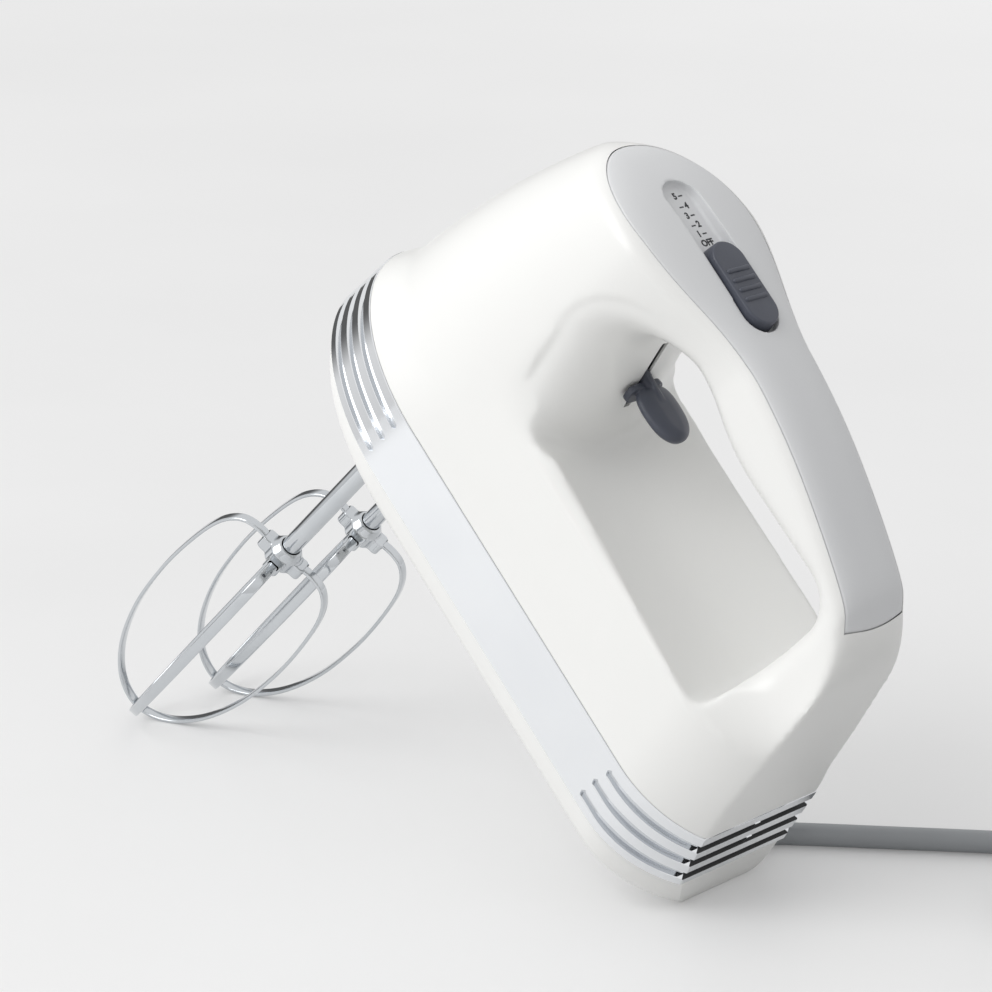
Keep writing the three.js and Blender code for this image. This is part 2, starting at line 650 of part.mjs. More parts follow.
// ------------------------------------------------------------------ controls
function speedSlider() {
  const [x0, x1] = SLIDER_X;
  const low = RECESS_Z + GAP;
  const half = SLIDER_HALF;
  const edge = SLIDER_EDGE;
  const levels = [
    [low, 0], [SLIDER_TOP - edge, 0], [SLIDER_TOP - 0.3 * edge, 0.6 * edge], [SLIDER_TOP, edge],
  ];
  const rings = levels.map(([z, inset]) => {
    const outline = capsule(x0 + inset, x1 - inset, half - inset).getSpacedPoints(22).slice(0, -1);
    return outline.map((p) => new THREE.Vector3(p.x, p.y, z));
  });
  const [wide, deep] = RIB_GROOVE;
  const reach = half - edge - 1;
  const grooves = [-1.5, -0.5, 0.5, 1.5].map((k) => {
    const x = (x0 + x1) / 2 + k * RIB_PITCH;
    return solidOf(box(x - wide / 2, x + wide / 2, -reach, reach, SLIDER_TOP - deep, SLIDER_TOP + 1));
  });
  const stemX = x0 + STEM_AT;
  const stem = box(stemX, stemX + STEM_LENGTH, -STEM_HALF, STEM_HALF, STEM_Z, low + 1);
  return cut(solidOf(stack(rings)).add(solidOf(stem)), ...grooves);
}

function switchBlock() {
  const x1 = SLIDER_X[0] + 2 + STEM_LENGTH + SLIDER_TRAVEL;
  const shape = rounded([[-2, 119.9, 1], [x1 + 3, 119.9, 1], [x1 + 3, 126.8, 1], [-2, 126.8, 1]]);
  const groove = box(SLIDER_X[0] + 1, x1 + 1, -STEM_HALF - GAP, STEM_HALF + GAP, STEM_Z - GAP, 140);
  return solidOf(sidePrism(shape, 13)).subtract(solidOf(groove));
}

function speedBoard() {
  const tilt = 0.165;
  const plate = box(-15, 15, -8.5, 8.5, 0, 1.4);
  const parts = [
    turned(rod(3.4, 1, 5.4), -6, 3.5, 14),
    turned(rod(2.6, 1, 4.4), 6, -4.5, 12),
    box(-1, 7, 0.5, 7, 1, 4.6),
    box(-13, -5, -6.5, -2, 1, 3.6),
  ];
  const all = join(solidOf(plate), ...parts.map(solidOf));
  return all.rotate([0, (tilt * 180) / Math.PI, 0]).translate([-23.5, 0, 115.4]);
}

// Paddle, neck, hub and the arm that reaches over the plate's post.
function ejectLever() {
  const [px, pz] = PIVOT;
  const arm = new THREE.Shape();
  const root = PADDLE_X[1] - 6;
  arm.moveTo(root, PADDLE_Z - 3.6);
  arm.lineTo(px - 6, PADDLE_Z - 4.4);
  arm.lineTo(px, pz - LEVER_EYE_R);
  arm.lineTo(px + LEVER_REACH - 6, pz - LEVER_TIP_R);
  arm.absarc(px + LEVER_REACH, pz, LEVER_TIP_R, -Math.PI / 2, Math.PI / 2, false);
  arm.absarc(px, pz, LEVER_EYE_R, 0.5 * Math.PI, 0.75 * Math.PI, false);
  arm.lineTo(root, PADDLE_Z + 2.2);
  arm.closePath();
  const [x0, x1] = PADDLE_X;
  const middle = (x0 + x1) / 2;
  const levels = [[-2.4, 1.6], [-1, 0], [0.2, 0.3], [2.2, 5.2]];
  const blunt = (v) => Math.sign(v) * Math.abs(v) ** 0.8;
  const leaf = levels.map(([z, inset]) => {
    const ring = [];
    const reach = (x1 - x0) / 2 - inset * 0.4;
    const wide = PADDLE_HALF - inset;
    for (let i = 0; i < 20; i++) {
      const a = (i / 20) * 2 * Math.PI;
      const [x, y] = [middle + reach * blunt(Math.cos(a)), wide * blunt(Math.sin(a))];
      ring.push(new THREE.Vector3(x, y, PADDLE_Z + z));
    }
    return ring;
  });
  const flange = rounded([[-4.5, -7, 3], [4.5, -7, 3], [4.5, 7, 3], [-4.5, 7, 3]]);
  const bar = solidOf(prism(flange, -0.9, 0.9, 4)).rotate([0, 90, 0]).rotate([0, 11.9, 0])
    .translate([PADDLE_X[1] - 0.4, 0, PADDLE_Z - 4.6]);
  return join(solidOf(stack(leaf)), solidOf(sidePrism(arm, 2 * LEVER_HALF)), bar).subtract(
    turnedAcross(PIN_R + GAP, 20, PIVOT),
  );
}

function ejectPlate() {
  const [z0, z1] = EJECT_BAR_Z;
  const bar = rounded([
    [BEATER_X - 5, -22, 3], [BEATER_X + 5, -22, 3], [BEATER_X + 5, 22, 3], [BEATER_X - 5, 22, 3],
  ]);
  const pins = [1, -1].map((s) => turned(rod(PUSHER_R, STEM_TOP + GAP, z0 + 1), BEATER_X, s * BEATER_Y, 16));
  const post = box(BEATER_X - 2.5, BEATER_X + 2.5, -3, 3, z1 - 1, PIVOT[1] - LEVER_TIP_R - GAP);
  const gusset = box(BEATER_X - 1, BEATER_X + 1, -9, 9, z1 - 1, z1 + 8);
  return join(solidOf(prism(bar, z0, z1, 4)), ...pins.map(solidOf), solidOf(post), solidOf(gusset));
}

// An open coil of round wire, along z.
function coilSpring(r, wire, z0, z1, turns, sides = 5) {
  const steps = Math.round(turns * 8);
  const rings = [];
  for (let i = 0; i <= steps; i++) {
    const a = (i / steps) * turns * 2 * Math.PI;
    const z = lerp(z0 + wire, z1 - wire, i / steps);
    const ring = [];
    for (let k = 0; k < sides; k++) {
      const b = (k / sides) * 2 * Math.PI;
      const out = r + wire * Math.cos(b);
      ring.push(new THREE.Vector3(out * Math.cos(a), out * Math.sin(a), z + wire * Math.sin(b)));
    }
    rings.push(ring);
  }
  return stack(rings.reverse());
}

// ------------------------------------------------------------------ motor
const shaftBore = () => solidOf(turnedAlongX(rod(SHAFT_R + GAP, -90, 100), 16));

// A sector of a ring around the motor's axis, centred on the side given.
function coilSector(r0, r1, degrees, x0, x1, side) {
  const a = rad(degrees);
  const middle = side > 0 ? 0 : Math.PI;
  const s = new THREE.Shape();
  s.absarc(0, 0, r1, middle - a, middle + a, false);
  s.absarc(0, 0, r0, middle + a, middle - a, true);
  s.closePath();
  return solidOf(alongX(s, x0, x1, 6));
}

// A prism along x whose outline is drawn in y and z about the motor's axis.
function alongX(shape, x0, x1, curveSegments = 8) {
  return new THREE.ExtrudeGeometry(shape, { depth: x1 - x0, bevelEnabled: false, curveSegments })
    .rotateZ(Math.PI / 2)
    .rotateY(Math.PI / 2)
    .translate(x0, 0, SHAFT_Z);
}

function stator() {
  const [hy, hz] = STATOR_HALF;
  const [x0, x1] = STATOR_X;
  const outline = rounded([[hy, -hz, 6], [hy, hz, 6], [-hy, hz, 6], [-hy, -hz, 6]]);
  const bore = solidOf(turnedAlongX(rod(BORE, x0 - 1, x1 + 1), 28));
  const bolts = [1, -1].map((s) => solidOf(turnedAlongX(rod(BOLT_R + GAP, x0 - 1, x1 + 1), 10, s * BOLT_Y)));
  const windows = [1, -1].map((s) => {
    const [r0, r1] = [COIL_R[0] - 0.8, COIL_R[1] + GAP];
    const whole = coilSector(r0, r1, COIL_ANGLE + 2, x0 - 1, x1 + 1, s);
    return whole.subtract(coilSector(r0 - 1, r1 + 1, POLE_ANGLE - 1, x0 - 2, x1 + 2, s));
  });
  return cut(solidOf(alongX(outline, x0, x1)), bore, ...bolts, ...windows);
}

function fieldCoil(side) {
  const [x0, x1] = STATOR_X;
  const [r0, r1] = COIL_R;
  const whole = coilSector(r0, r1, COIL_ANGLE, x0 - COIL_END, x1 + COIL_END, side);
  return whole.subtract(coilSector(r0 - 1, r1 + 1, POLE_ANGLE, x0 - GAP, x1 + GAP, side));
}

function slottedDisc(r, slots, slotHalf, floor, x0, x1) {
  const s = new THREE.Shape();
  for (let i = 0; i < slots; i++) {
    const a = (i / slots) * 2 * Math.PI;
    const half = slotHalf / r;
    const at = (radius, angle) => [radius * Math.cos(angle), radius * Math.sin(angle)];
    s[i ? "lineTo" : "moveTo"](...at(r, a + half));
    const next = a + (2 * Math.PI) / slots;
    s.lineTo(...at(r, (a + next) / 2));
    s.lineTo(...at(r, next - half));
    s.lineTo(...at(floor, next - (half * r) / floor));
    s.lineTo(...at(floor, next + (half * r) / floor));
  }
  s.closePath();
  return solidOf(alongX(s, x0, x1)).subtract(shaftBore());
}

function windings() {
  const [x0, x1] = STATOR_X;
  const ends = [[x0 - GAP, -1], [x1 + GAP, 1]].map(([x, out]) => {
    const [core, bulge] = [SHAFT_R + 1, WINDING_R + 1];
    const profile = [[core, x], [bulge - 0.8, x], [bulge, x + out * 2], [bulge - 2.6, x + out * 5.4]];
    profile.push([core, x + out * 6], profile[0]);
    if (out < 0) profile.reverse();
    return solidOf(turnedAlongX(profile, 16));
  });
  const half = ARMATURE_SLOT_HALF - GAP;
  const bars = [];
  for (let i = 0; i < ARMATURE_SLOTS; i++) {
    const low = ARMATURE_R - SLOT_DEPTH + GAP;
    const bar = solidOf(box(x0 - 1, x1 + 1, low, WINDING_R, -half, half));
    bars.push(bar.rotate([(i * 360) / ARMATURE_SLOTS, 0, 0]).translate([0, 0, SHAFT_Z]));
  }
  return join(...ends, ...bars);
}

// Worm thread as a surface whose radius follows the helix. One step round the shaft and one step
// along it carry the same share of the lead, so each ridge runs straight along the facets.
function motorShaft() {
  const lead = PITCH * WORM_STARTS;
  const perPitch = 8;
  const around = perPitch * WORM_STARTS;
  const x0 = BEATER_X - (PITCH * WORM_PITCHES) / 2;
  const rings = [];
  for (let i = 0; i <= WORM_PITCHES * perPitch; i++) {
    const x = x0 + (i * PITCH) / perPitch;
    const ring = [];
    for (let k = 0; k < around; k++) {
      const a = (k / around) * 2 * Math.PI;
      const along = (x - BEATER_X) / PITCH - (a * lead) / (2 * Math.PI) / PITCH;
      const phase = (along % 1 + 1.5) % 1;
      const off = Math.min(phase, 1 - phase);
      const r = WORM_R + (off < 0.13 ? TOOTH : -TOOTH);
      ring.push(new THREE.Vector3(r * Math.cos(a), r * Math.sin(a), x));
    }
    rings.push(ring);
  }
  const worm = stack(rings).rotateZ(Math.PI / 2).rotateY(Math.PI / 2).translate(0, 0, SHAFT_Z);
  return solidOf(worm).add(solidOf(turnedAlongX(rod(SHAFT_R, SHAFT_X[0], SHAFT_X[1]), 16)));
}

function fan() {
  const [x0, x1] = FAN_X;
  const hub = turnedAlongX(ringProfile(SHAFT_R + GAP, 6, x0, x1), 20);
  const disc = turnedAlongX(ringProfile(SHAFT_R + GAP, FAN_R, x0, x0 + 1.4), 27);
  const blade = new THREE.Shape();
  blade.absarc(11, -9.2, 12, rad(52), rad(128), false);
  blade.absarc(11, -9.2, 10.8, rad(128), rad(52), true);
  blade.closePath();
  const blades = [];
  for (let i = 0; i < FAN_BLADES; i++) {
    const one = solidOf(alongX(blade, x0 + 1, x1, 2)).translate([0, 0, -SHAFT_Z]);
    blades.push(one.rotate([(i * 360) / FAN_BLADES, 0, 0]).translate([0, 0, SHAFT_Z]));
  }
  const round = solidOf(turnedAlongX(rod(FAN_R, x0, x1), 27));
  return join(solidOf(hub), solidOf(disc), ...blades.map((b) => b.intersect(round)));
}

function motorBracket() {
  const [x0, x1] = BRACKET_X;
  const half = STATOR_HALF[0] + 1.4;
  const legs = [1, -1].map((s) => {
    const [a, b] = [s * half, s * (half - 4)].sort((m, n) => m - n);
    return solidOf(box(x0, STATOR_X[0] - GAP, a, b, SHAFT_Z - 5, SHAFT_Z + 5));
  });
  const plate = alongX(rounded([[half, -7, 3], [half, 7, 3], [-half, 7, 3], [-half, -7, 3]]), x0, x1, 4);
  const eye = turnedAlongX(rod(BEARING_R + 3, x0 - 2, x1));
  const bore = turnedAlongX(rod(BEARING_R + GAP, x0 - 3, x1 + 1));
  const holes = [1, -1].map((s) => turnedAlongX(rod(BOLT_R + GAP, x0 - 1, STATOR_X[0] + 1), 10, s * BOLT_Y));
  return cut(join(solidOf(plate), solidOf(eye), ...legs), solidOf(bore), ...holes.map(solidOf));
}

const bearing = (x0, x1) => solidOf(turnedAlongX(ringProfile(SHAFT_R + GAP, BEARING_R, x0, x1)));

function motorBolt(side) {
  const [head, tip] = [BRACKET_X[0] - GAP, FRAME_X[0] + FRAME_WALL + 1.5];
  const profile = [[0, head - 2.3], [2.9, head - 2.3], [2.9, head], [BOLT_R, head], [BOLT_R, tip], [0, tip]];
  return solidOf(turnedAlongX(profile, 12, side * BOLT_Y));
}

const brushX = (COMMUTATOR_X[0] + COMMUTATOR_X[1]) / 2;

function brush(side) {
  const [w, h, length] = BRUSH;
  const y = COMMUTATOR_R + GAP;
  const [a, b] = [side * y, side * (y + length)].sort((m, n) => m - n);
  return solidOf(box(brushX - w / 2, brushX + w / 2, a, b, SHAFT_Z - h / 2, SHAFT_Z + h / 2));
}

function brushHolder(side) {
  const [w, h] = BRUSH;
  const [a, b] = [side * (COMMUTATOR_R + 1.6), side * BRUSH_CASE_END].sort((m, n) => m - n);
  const sleeve = (grow, from, to) => {
    const [x, z] = [w / 2 + grow, h / 2 + grow];
    return solidOf(box(brushX - x, brushX + x, from, to, SHAFT_Z - z, SHAFT_Z + z));
  };
  const hollow = side > 0 ? sleeve(GAP, a - 5, b - 1) : sleeve(GAP, a + 1, b + 5);
  return sleeve(GAP + 1.1, a, b).subtract(hollow);
}

function brushSpring(side) {
  const from = COMMUTATOR_R + BRUSH[2] + 2 * GAP;
  const spring = coilSpring(1.8, 0.3, from, BRUSH_CASE_END - 1 - GAP, 2.5, 4);
  return solidOf(spring).rotate([side > 0 ? -90 : 90, 0, 0]).translate([brushX, 0, SHAFT_Z]);
}

// ------------------------------------------------------------------ gears
function wormWheel() {
  const s = new THREE.Shape();
  for (let i = 0; i < GEAR_TEETH; i++) {
    const a = (i / GEAR_TEETH) * 2 * Math.PI;
    const flank = [[-0.26, -TOOTH], [-0.13, TOOTH], [0.13, TOOTH], [0.26, -TOOTH]];
    flank.forEach(([share, height], k) => {
      const angle = a + (share * 2 * Math.PI) / GEAR_TEETH;
      const r = GEAR_R + height - 0.1;
      s[i || k ? "lineTo" : "moveTo"](r * Math.cos(angle), r * Math.sin(angle));
    });
  }
  s.closePath();
  const g = new THREE.ExtrudeGeometry(s, { depth: GEAR_WIDTH, bevelEnabled: false });
  g.translate(0, 0, -GEAR_WIDTH / 2);
  const p = g.attributes.position;
  const lean = (PITCH * WORM_STARTS) / (2 * Math.PI * WORM_R * GEAR_R);
  for (let i = 0; i < p.count; i++) {
    const turn = lean * p.getZ(i);
    const [x, y] = [p.getX(i), p.getY(i)];
    p.setXY(i, x * Math.cos(turn) - y * Math.sin(turn), x * Math.sin(turn) + y * Math.cos(turn));
  }
  const web = (z0, z1) => solidOf(turned(ringProfile(SPINDLE_R + 3, GEAR_R - 3, z0, z1), 0, 0, 16));
  const half = GEAR_WIDTH / 2;
  return cut(
    solidOf(g),
    solidOf(turned(rod(SPINDLE_R + GAP, -half - 1, half + 1), 0, 0)),
    web(half - 3, half + 1),
    web(-half - 1, -half + 3),
  );
}

function spindle() {
  const [z0, z1] = SPINDLE_Z;
  const low = SHAFT_Z - GEAR_WIDTH / 2 - GAP;
  const [r, collarR] = [SPINDLE_R, SPINDLE_R + 1.5];
  const profile = [
    [0, z0], [r - 0.8, z0], [r, z0 + 0.8], [r, low - 2.5], [collarR, low - 2.5], [collarR, low], [r, low],
    [r, z1], [0, z1],
  ];
  const bore = turned(rod(BORE_R, z0 - 1, z1 + 1), 0, 0, 12);
  return solidOf(turned(profile, 0, 0)).subtract(solidOf(bore));
}

function gearFrame() {
  const [x0, x1] = FRAME_X;
  const [z0, z1] = FRAME_Z;
  const outline = rounded([
    [x0, -33, 4], [x0 + 14, -33, 6], [x1 + 4, -23, 6], [x1 + 4, 23, 6], [x0 + 14, 33, 6], [x0, 33, 4],
  ]);
  const plate = solidOf(prism(outline, z0, z1, 4));
  const [foot, top] = [z0 - SHAFT_Z, STRAP_Z[1] - SHAFT_Z];
  const wall = (half, from) => {
    const shape = rounded([[half, foot, 1], [half, top, 5], [-half, top, 5], [-half, foot, 1]]);
    return solidOf(alongX(shape, from, from + FRAME_WALL, 4));
  };
  const rearWall = wall(28, x0);
  const noseWall = wall(10, x1 - FRAME_WALL);
  const strap = solidOf(box(x0 + 1, x1 - 1, -6, 6, ...STRAP_Z));
  const rearHole = turnedAlongX(rod(BEARING_R + GAP, x0 - 1, x0 + FRAME_WALL + 1));
  const noseHole = turnedAlongX(rod(BEARING_R + GAP, x1 - FRAME_WALL - 1, x1 + 1));
  const bolts = [1, -1].map((s) => turnedAlongX(rod(BOLT_R + GAP, x0 - 1, x0 + 6), 10, s * BOLT_Y));
  const screws = FRAME_SCREWS.map(([x, y]) => turned(rod(SCREW_R + GAP, z0 - 1, z1 + 1), x, y, 8));
  const bores = [1, -1].map((s) => turned(rod(SPINDLE_R + GAP, z0 - 1, z1 + 1), BEATER_X, s * BEATER_Y));
  const holes = [rearHole, noseHole, ...bolts, ...screws, ...bores].map(solidOf);
  return cut(join(plate, rearWall, noseWall, strap), ...holes);
}

const screw = (x, y, seat, head, tip) =>
  solidOf(
    turned(
      seat > head
        ? [[0, tip], [SCREW_R, tip], [SCREW_R, seat], [2.8, seat], [2.8, head], [0, head]].reverse()
        : [[0, tip], [SCREW_R, tip], [SCREW_R, seat], [2.8, seat], [2.8, head], [0, head]],
      x, y, 8,
    ),
  );

// ------------------------------------------------------------------ beaters
// One hoop of flat wire, drawn in its own plane, hub to tip and back.
function hoop(step, thickness, width) {
  const tip = CAGE.at(-1)[1];
  const half = CAGE.map(([r, z]) => {
    const share = (z - HUB_Z) / (tip - HUB_Z);
    return new THREE.Vector2(r, z + step * share);
  });
  const other = half.slice(0, -1).reverse().map((p) => new THREE.Vector2(-p.x, p.y));
  const line = new THREE.SplineCurve([...half, ...other]).getSpacedPoints(30);
  const edge = (side) =>
    line.map((p, i) => {
      const [a, b] = [line[Math.max(0, i - 1)], line[Math.min(line.length - 1, i + 1)]];
      const n = new THREE.Vector2(b.y - a.y, a.x - b.x).normalize();
      return p.clone().addScaledVector(n, (side * thickness) / 2);
    });
  const shape = new THREE.Shape([...edge(1), ...edge(-1).reverse()]);
  return solidOf(sidePrism(shape, width));
}

const hoops = [0, 1].map((i) => hoop(i * LOOP_STEP, WIRE_T, WIRE_WIDTH).rotate([0, 0, CAGE_PHASE + 90 * i]));
const hoopSlots = [0, 1].map((i) =>
  hoop(i * LOOP_STEP, WIRE_T + 2 * GAP, WIRE_WIDTH + 2 * GAP).rotate([0, 0, CAGE_PHASE + 90 * i]),
);

const STEM_SEAT = 1.8; // how far below the hub's middle the stem reaches

function hub() {
  const z = HUB_Z;
  const core = turned([
    [0, z - 4], [HUB_R, z - 4], [HUB_R + 0.6, z - 3], [HUB_R + 0.6, z + 2], [HUB_R - 1, z + 4.5],
    [0, z + 4.5],
  ], 0, 0);
  const clasp = WIRE_WIDTH / 2 + 1.1;
  const arms = [0, 90].map((turn) => {
    const arm = box(-ARM_REACH, ARM_REACH, -clasp, clasp, z - 3, z + 1.8);
    return solidOf(arm).rotate([0, 0, CAGE_PHASE + turn]);
  });
  const seat = solidOf(turned(rod(BEATER_STEM_R + GAP, z - STEM_SEAT, z + 6), 0, 0, 12));
  return cut(join(solidOf(core), ...arms), ...hoopSlots, seat);
}

function beaterShaft() {
  const low = HUB_Z - STEM_SEAT + GAP;
  const [r, top] = [BEATER_STEM_R, STEM_TOP];
  const profile = [
    [0, low], [r, low], [r, top - 14], [r - 0.7, top - 13], [r - 0.7, top - 11], [r, top - 10],
    [r, top - 1.5], [r - 1.2, top], [0, top],
  ];
  return solidOf(turned(profile, 0, 0, 12));
}

const collar = () =>
  solidOf(turned(ringProfile(BEATER_STEM_R + GAP, BEATER_STEM_R + 3, COLLAR_Z - 1.5, COLLAR_Z + 1.5), 0, 0));

// ------------------------------------------------------------------ cord entry
const yaw = rad(SWIVEL_YAW);

function reliefAxis(geometry) {
  return geometry.rotateY(Math.PI / 2).rotateZ(yaw).translate(SWIVEL_X, 0, RELIEF_Z);
}

const lathe = (profile, segments) =>
  new THREE.LatheGeometry(profile.map(([r, h]) => new THREE.Vector2(r, h)), segments).rotateX(Math.PI / 2);

function cordSwivel() {
  const [low, r, seat] = [SWIVEL_LOW, SWIVEL_R, WALL + GAP];
  const flange = r + 2.5;
  const profile = [
    [0, low], [r - 4.5, low], [r - 1.8, low + 1.3], [r - 0.4, low + 3.4], [r, low + 6], [r, seat],
    [flange, seat], [flange, seat + 1.9], [0, seat + 1.9],
  ];
  const body = turned(profile, SWIVEL_X, 0, 20);
  const pocket = reliefAxis(lathe(rod(5.2 + GAP, RELIEF[0] - 2, RELIEF[0] + 20), 12));
  return solidOf(body).subtract(solidOf(pocket));
}

function strainRelief() {
  const [a, b] = RELIEF;
  const profile = [[0, a - 2 + GAP], [5.2, a - 2 + GAP], [5.2, a + 6]];
  for (let i = 0; i < 3; i++) {
    const at = lerp(a + 6, b - 2, i / 3);
    const r = lerp(5.1, 4.3, i / 3);
    profile.push([r - 0.9, at + 0.6], [r - 0.9, at + 1.8], [r, at + 2.4], [r - 0.1, at + 4]);
  }
  profile.push([4.1, b], [0, b]);
  return solidOf(reliefAxis(lathe(profile, 12)));
}

// ------------------------------------------------------------------ assembly
const FINISHES = {
  white: { color: "#f1f0ea", roughness: 0.35, metalness: 0 },
  panel: { color: "#d4d5d8", roughness: 0.4, metalness: 0 },
  grey: { color: "#494c55", roughness: 0.45, metalness: 0 },
  chrome: { color: "#c9ccd0", roughness: 0.12, metalness: 1 },
  steel: { color: "#9a9da1", roughness: 0.3, metalness: 1 },
  copper: { color: "#b5693a", roughness: 0.4, metalness: 1 },
  brass: { color: "#b59a55", roughness: 0.35, metalness: 1 },
  iron: { color: "#6f7276", roughness: 0.5, metalness: 1 },
  nylon: { color: "#dcd9cc", roughness: 0.5, metalness: 0 },
  black: { color: "#26272a", roughness: 0.6, metalness: 0 },
  board: { color: "#3c6b46", roughness: 0.6, metalness: 0 },
  cord: { color: "#7d8084", roughness: 0.55, metalness: 0 },
};

function add(parent, name, shape, finish) {
  const mesh = new THREE.Mesh(
    shape.isBufferGeometry ? shape : geometryOf(shape),
    new THREE.MeshStandardMaterial(FINISHES[finish]),
  );
  mesh.name = name;
  parent.add(mesh);
  return mesh;
}

const part = new THREE.Group();
const mixer = new THREE.Group();
part.add(mixer);

add(mixer, "main_housing", housing(), "white");
add(mixer, "handle_cover", handleCover(), "panel");
add(mixer, "trim_band", trimBand(), "chrome");
add(mixer, "bottom_cover", bottomCover(), "white");
add(mixer, "speed_slider", speedSlider(), "grey");
add(mixer, "switch_block", switchBlock(), "black");
add(mixer, "speed_board", speedBoard(), "board");
add(mixer, "eject_lever", ejectLever(), "grey");
add(mixer, "eject_lever_pin", turnedAcross(PIN_R, 12, PIVOT), "steel");
add(mixer, "eject_plate", ejectPlate(), "nylon");
add(mixer, "eject_spring", coilSpring(4.6, 0.5, STRAP_Z[1] + GAP, EJECT_BAR_Z[0] - GAP, 4), "steel")
  .position.set(BEATER_X, 0, 0);

add(mixer, "motor_stator", stator(), "iron");
const core = slottedDisc(
  ARMATURE_R, ARMATURE_SLOTS, ARMATURE_SLOT_HALF, ARMATURE_R - SLOT_DEPTH, ...STATOR_X,
);
add(mixer, "armature_core", core, "iron");
add(mixer, "armature_windings", windings(), "copper");
add(mixer, "commutator", slottedDisc(COMMUTATOR_R, 12, 0.3, COMMUTATOR_R - 0.6, ...COMMUTATOR_X), "brass");
add(mixer, "motor_shaft", motorShaft(), "steel");
add(mixer, "cooling_fan", fan(), "nylon");
add(mixer, "motor_bracket", motorBracket(), "iron");
add(mixer, "rear_bearing", bearing(...BRACKET_X), "brass");
add(mixer, "front_bearing", bearing(FRAME_X[0], FRAME_X[0] + FRAME_WALL), "brass");
add(mixer, "nose_bearing", bearing(FRAME_X[1] - FRAME_WALL, FRAME_X[1]), "brass");
add(mixer, "gear_frame", gearFrame(), "nylon");
FRAME_SCREWS.forEach(([x, y], i) => {
  const solid = screw(x, y, FRAME_Z[1] + GAP, FRAME_Z[1] + 2.2, 2 * WALL + 2);
  add(mixer, `gear_frame_screw_${i + 1}`, solid, "steel");
});
HOUSING_SCREWS.forEach(([x, y], i) =>
  add(mixer, `housing_screw_${i + 1}`, screw(x, y, 6 - GAP, 3.6, 30), "steel"));

for (const [name, side] of [["left", 1], ["right", -1]]) {
  add(mixer, `field_coil_${name}`, fieldCoil(side), "copper");
  add(mixer, `motor_bolt_${name}`, motorBolt(side), "steel");
  add(mixer, `carbon_brush_${name}`, brush(side), "black");
  add(mixer, `brush_holder_${name}`, brushHolder(side), "brass");
  add(mixer, `brush_spring_${name}`, brushSpring(side), "steel");

  const drive = new THREE.Group();
  drive.position.set(BEATER_X, side * BEATER_Y, 0);
  mixer.add(drive);
  const wheel = add(drive, `worm_wheel_${name}`, wormWheel(), "nylon");
  wheel.position.z = SHAFT_Z;
  wheel.rotation.z = -side * (Math.PI / 2);
  add(drive, `spindle_${name}`, spindle(), "steel");
  add(drive, `beater_${name}_shaft`, beaterShaft(), "chrome");
  add(drive, `beater_${name}_hub`, hub(), "chrome");
  add(drive, `beater_${name}_hoop_outer`, hoops[0], "chrome");
  add(drive, `beater_${name}_hoop_inner`, hoops[1], "chrome");
  if (side > 0) add(drive, `beater_${name}_collar`, collar(), "grey");
}

add(mixer, "cord_swivel", cordSwivel(), "white");
add(mixer, "strain_relief", strainRelief(), "cord");

// ------------------------------------------------------------------ stance
// The mixer is tipped back about y until its heel and its beater tips are level.
const tipped = (p, angle) => p.x * Math.sin(angle) + p.z * Math.cos(angle);

function cornersOf(keep) {
  const points = [];
  mixer.updateWorldMatrix(true, true);
  mixer.traverse((mesh) => {
    if (!mesh.isMesh || !keep(mesh.name)) return;
    const position = mesh.geometry.attributes.position;
    for (let i = 0; i < position.count; i++) {
      points.push(new THREE.Vector3().fromBufferAttribute(position, i).applyMatrix4(mesh.matrixWorld));
    }
  });
  return points;
}

function stanceAngle() {
  const shell = cornersOf((name) => name === "bottom_cover" || name === "trim_band");
  const tips = cornersOf((name) => name.startsWith("beater_"));
  const lowest = (points, angle) => points.reduce((m, p) => Math.min(m, tipped(p, angle)), Infinity);
  let [low, high] = [0.3, 1.3];
  for (let i = 0; i < 40; i++) {
    const angle = (low + high) / 2;
    if (lowest(shell, angle) > lowest(tips, angle)) low = angle;
    else high = angle;
  }
  return low;
}

const stance = stanceAngle();
mixer.rotation.y = -stance;
const bounds = new THREE.Box3().setFromPoints(cornersOf(() => true));
mixer.position.set(-(bounds.min.x + bounds.max.x) / 2, -(bounds.min.y + bounds.max.y) / 2, -bounds.min.z);

// ------------------------------------------------------------------ mains lead
// Its route is chosen by hand, in the part's own axes: out of the relief, down to the worktop,
// into a coil behind the heel, and over the coil to the plug, which lies on it.
const ROUTE = [
  [-70.3, -22.1, 8.8], [-71.6, -24, 7.5], [-75.5, -29.6, 4.7], [-79.7, -35.3, 3.8], [-84.2, -40.3, 3.7],
  [-90, -45, 3.7], [-109.5, -59.6, 3.7], [-131.5, -76, 3.7], [-145.6, -86, 3.7], [-158.6, -95.3, 3.7],
];
const TAIL = [
  [-195.8, -118.1, 17.9], [-204, -119.5, 17.9], [-213, -119.7, 18.1], [-224.9, -117.3, 18.9],
  [-234.9, -110.6, 20.6], [-241.4, -101.5, 22.6], [-243.8, -93.5, 23.4], [-244, -88.7, 23.5],
];
const COIL_MIDDLE = [-208, -72.7];
const COIL = { inner: 29.5, outer: 50.5, height: 14.2, corner: 3 };
const PLUG = { half: 12, height: 18, length: 32, spacing: 12.7, seat: 6 };
const BLADE = { tall: 6.35, thick: 1.5, reach: 16, tip: 2 };

function lead(points, steps) {
  const path = new THREE.CatmullRomCurve3(points.map((p) => new THREE.Vector3(...p)));
  const round = new THREE.Shape().absarc(0, 0, CORD_R, 0, 2 * Math.PI, false);
  const along = { steps, extrudePath: path, bevelEnabled: false, curveSegments: 4 };
  return new THREE.ExtrudeGeometry(round, along);
}

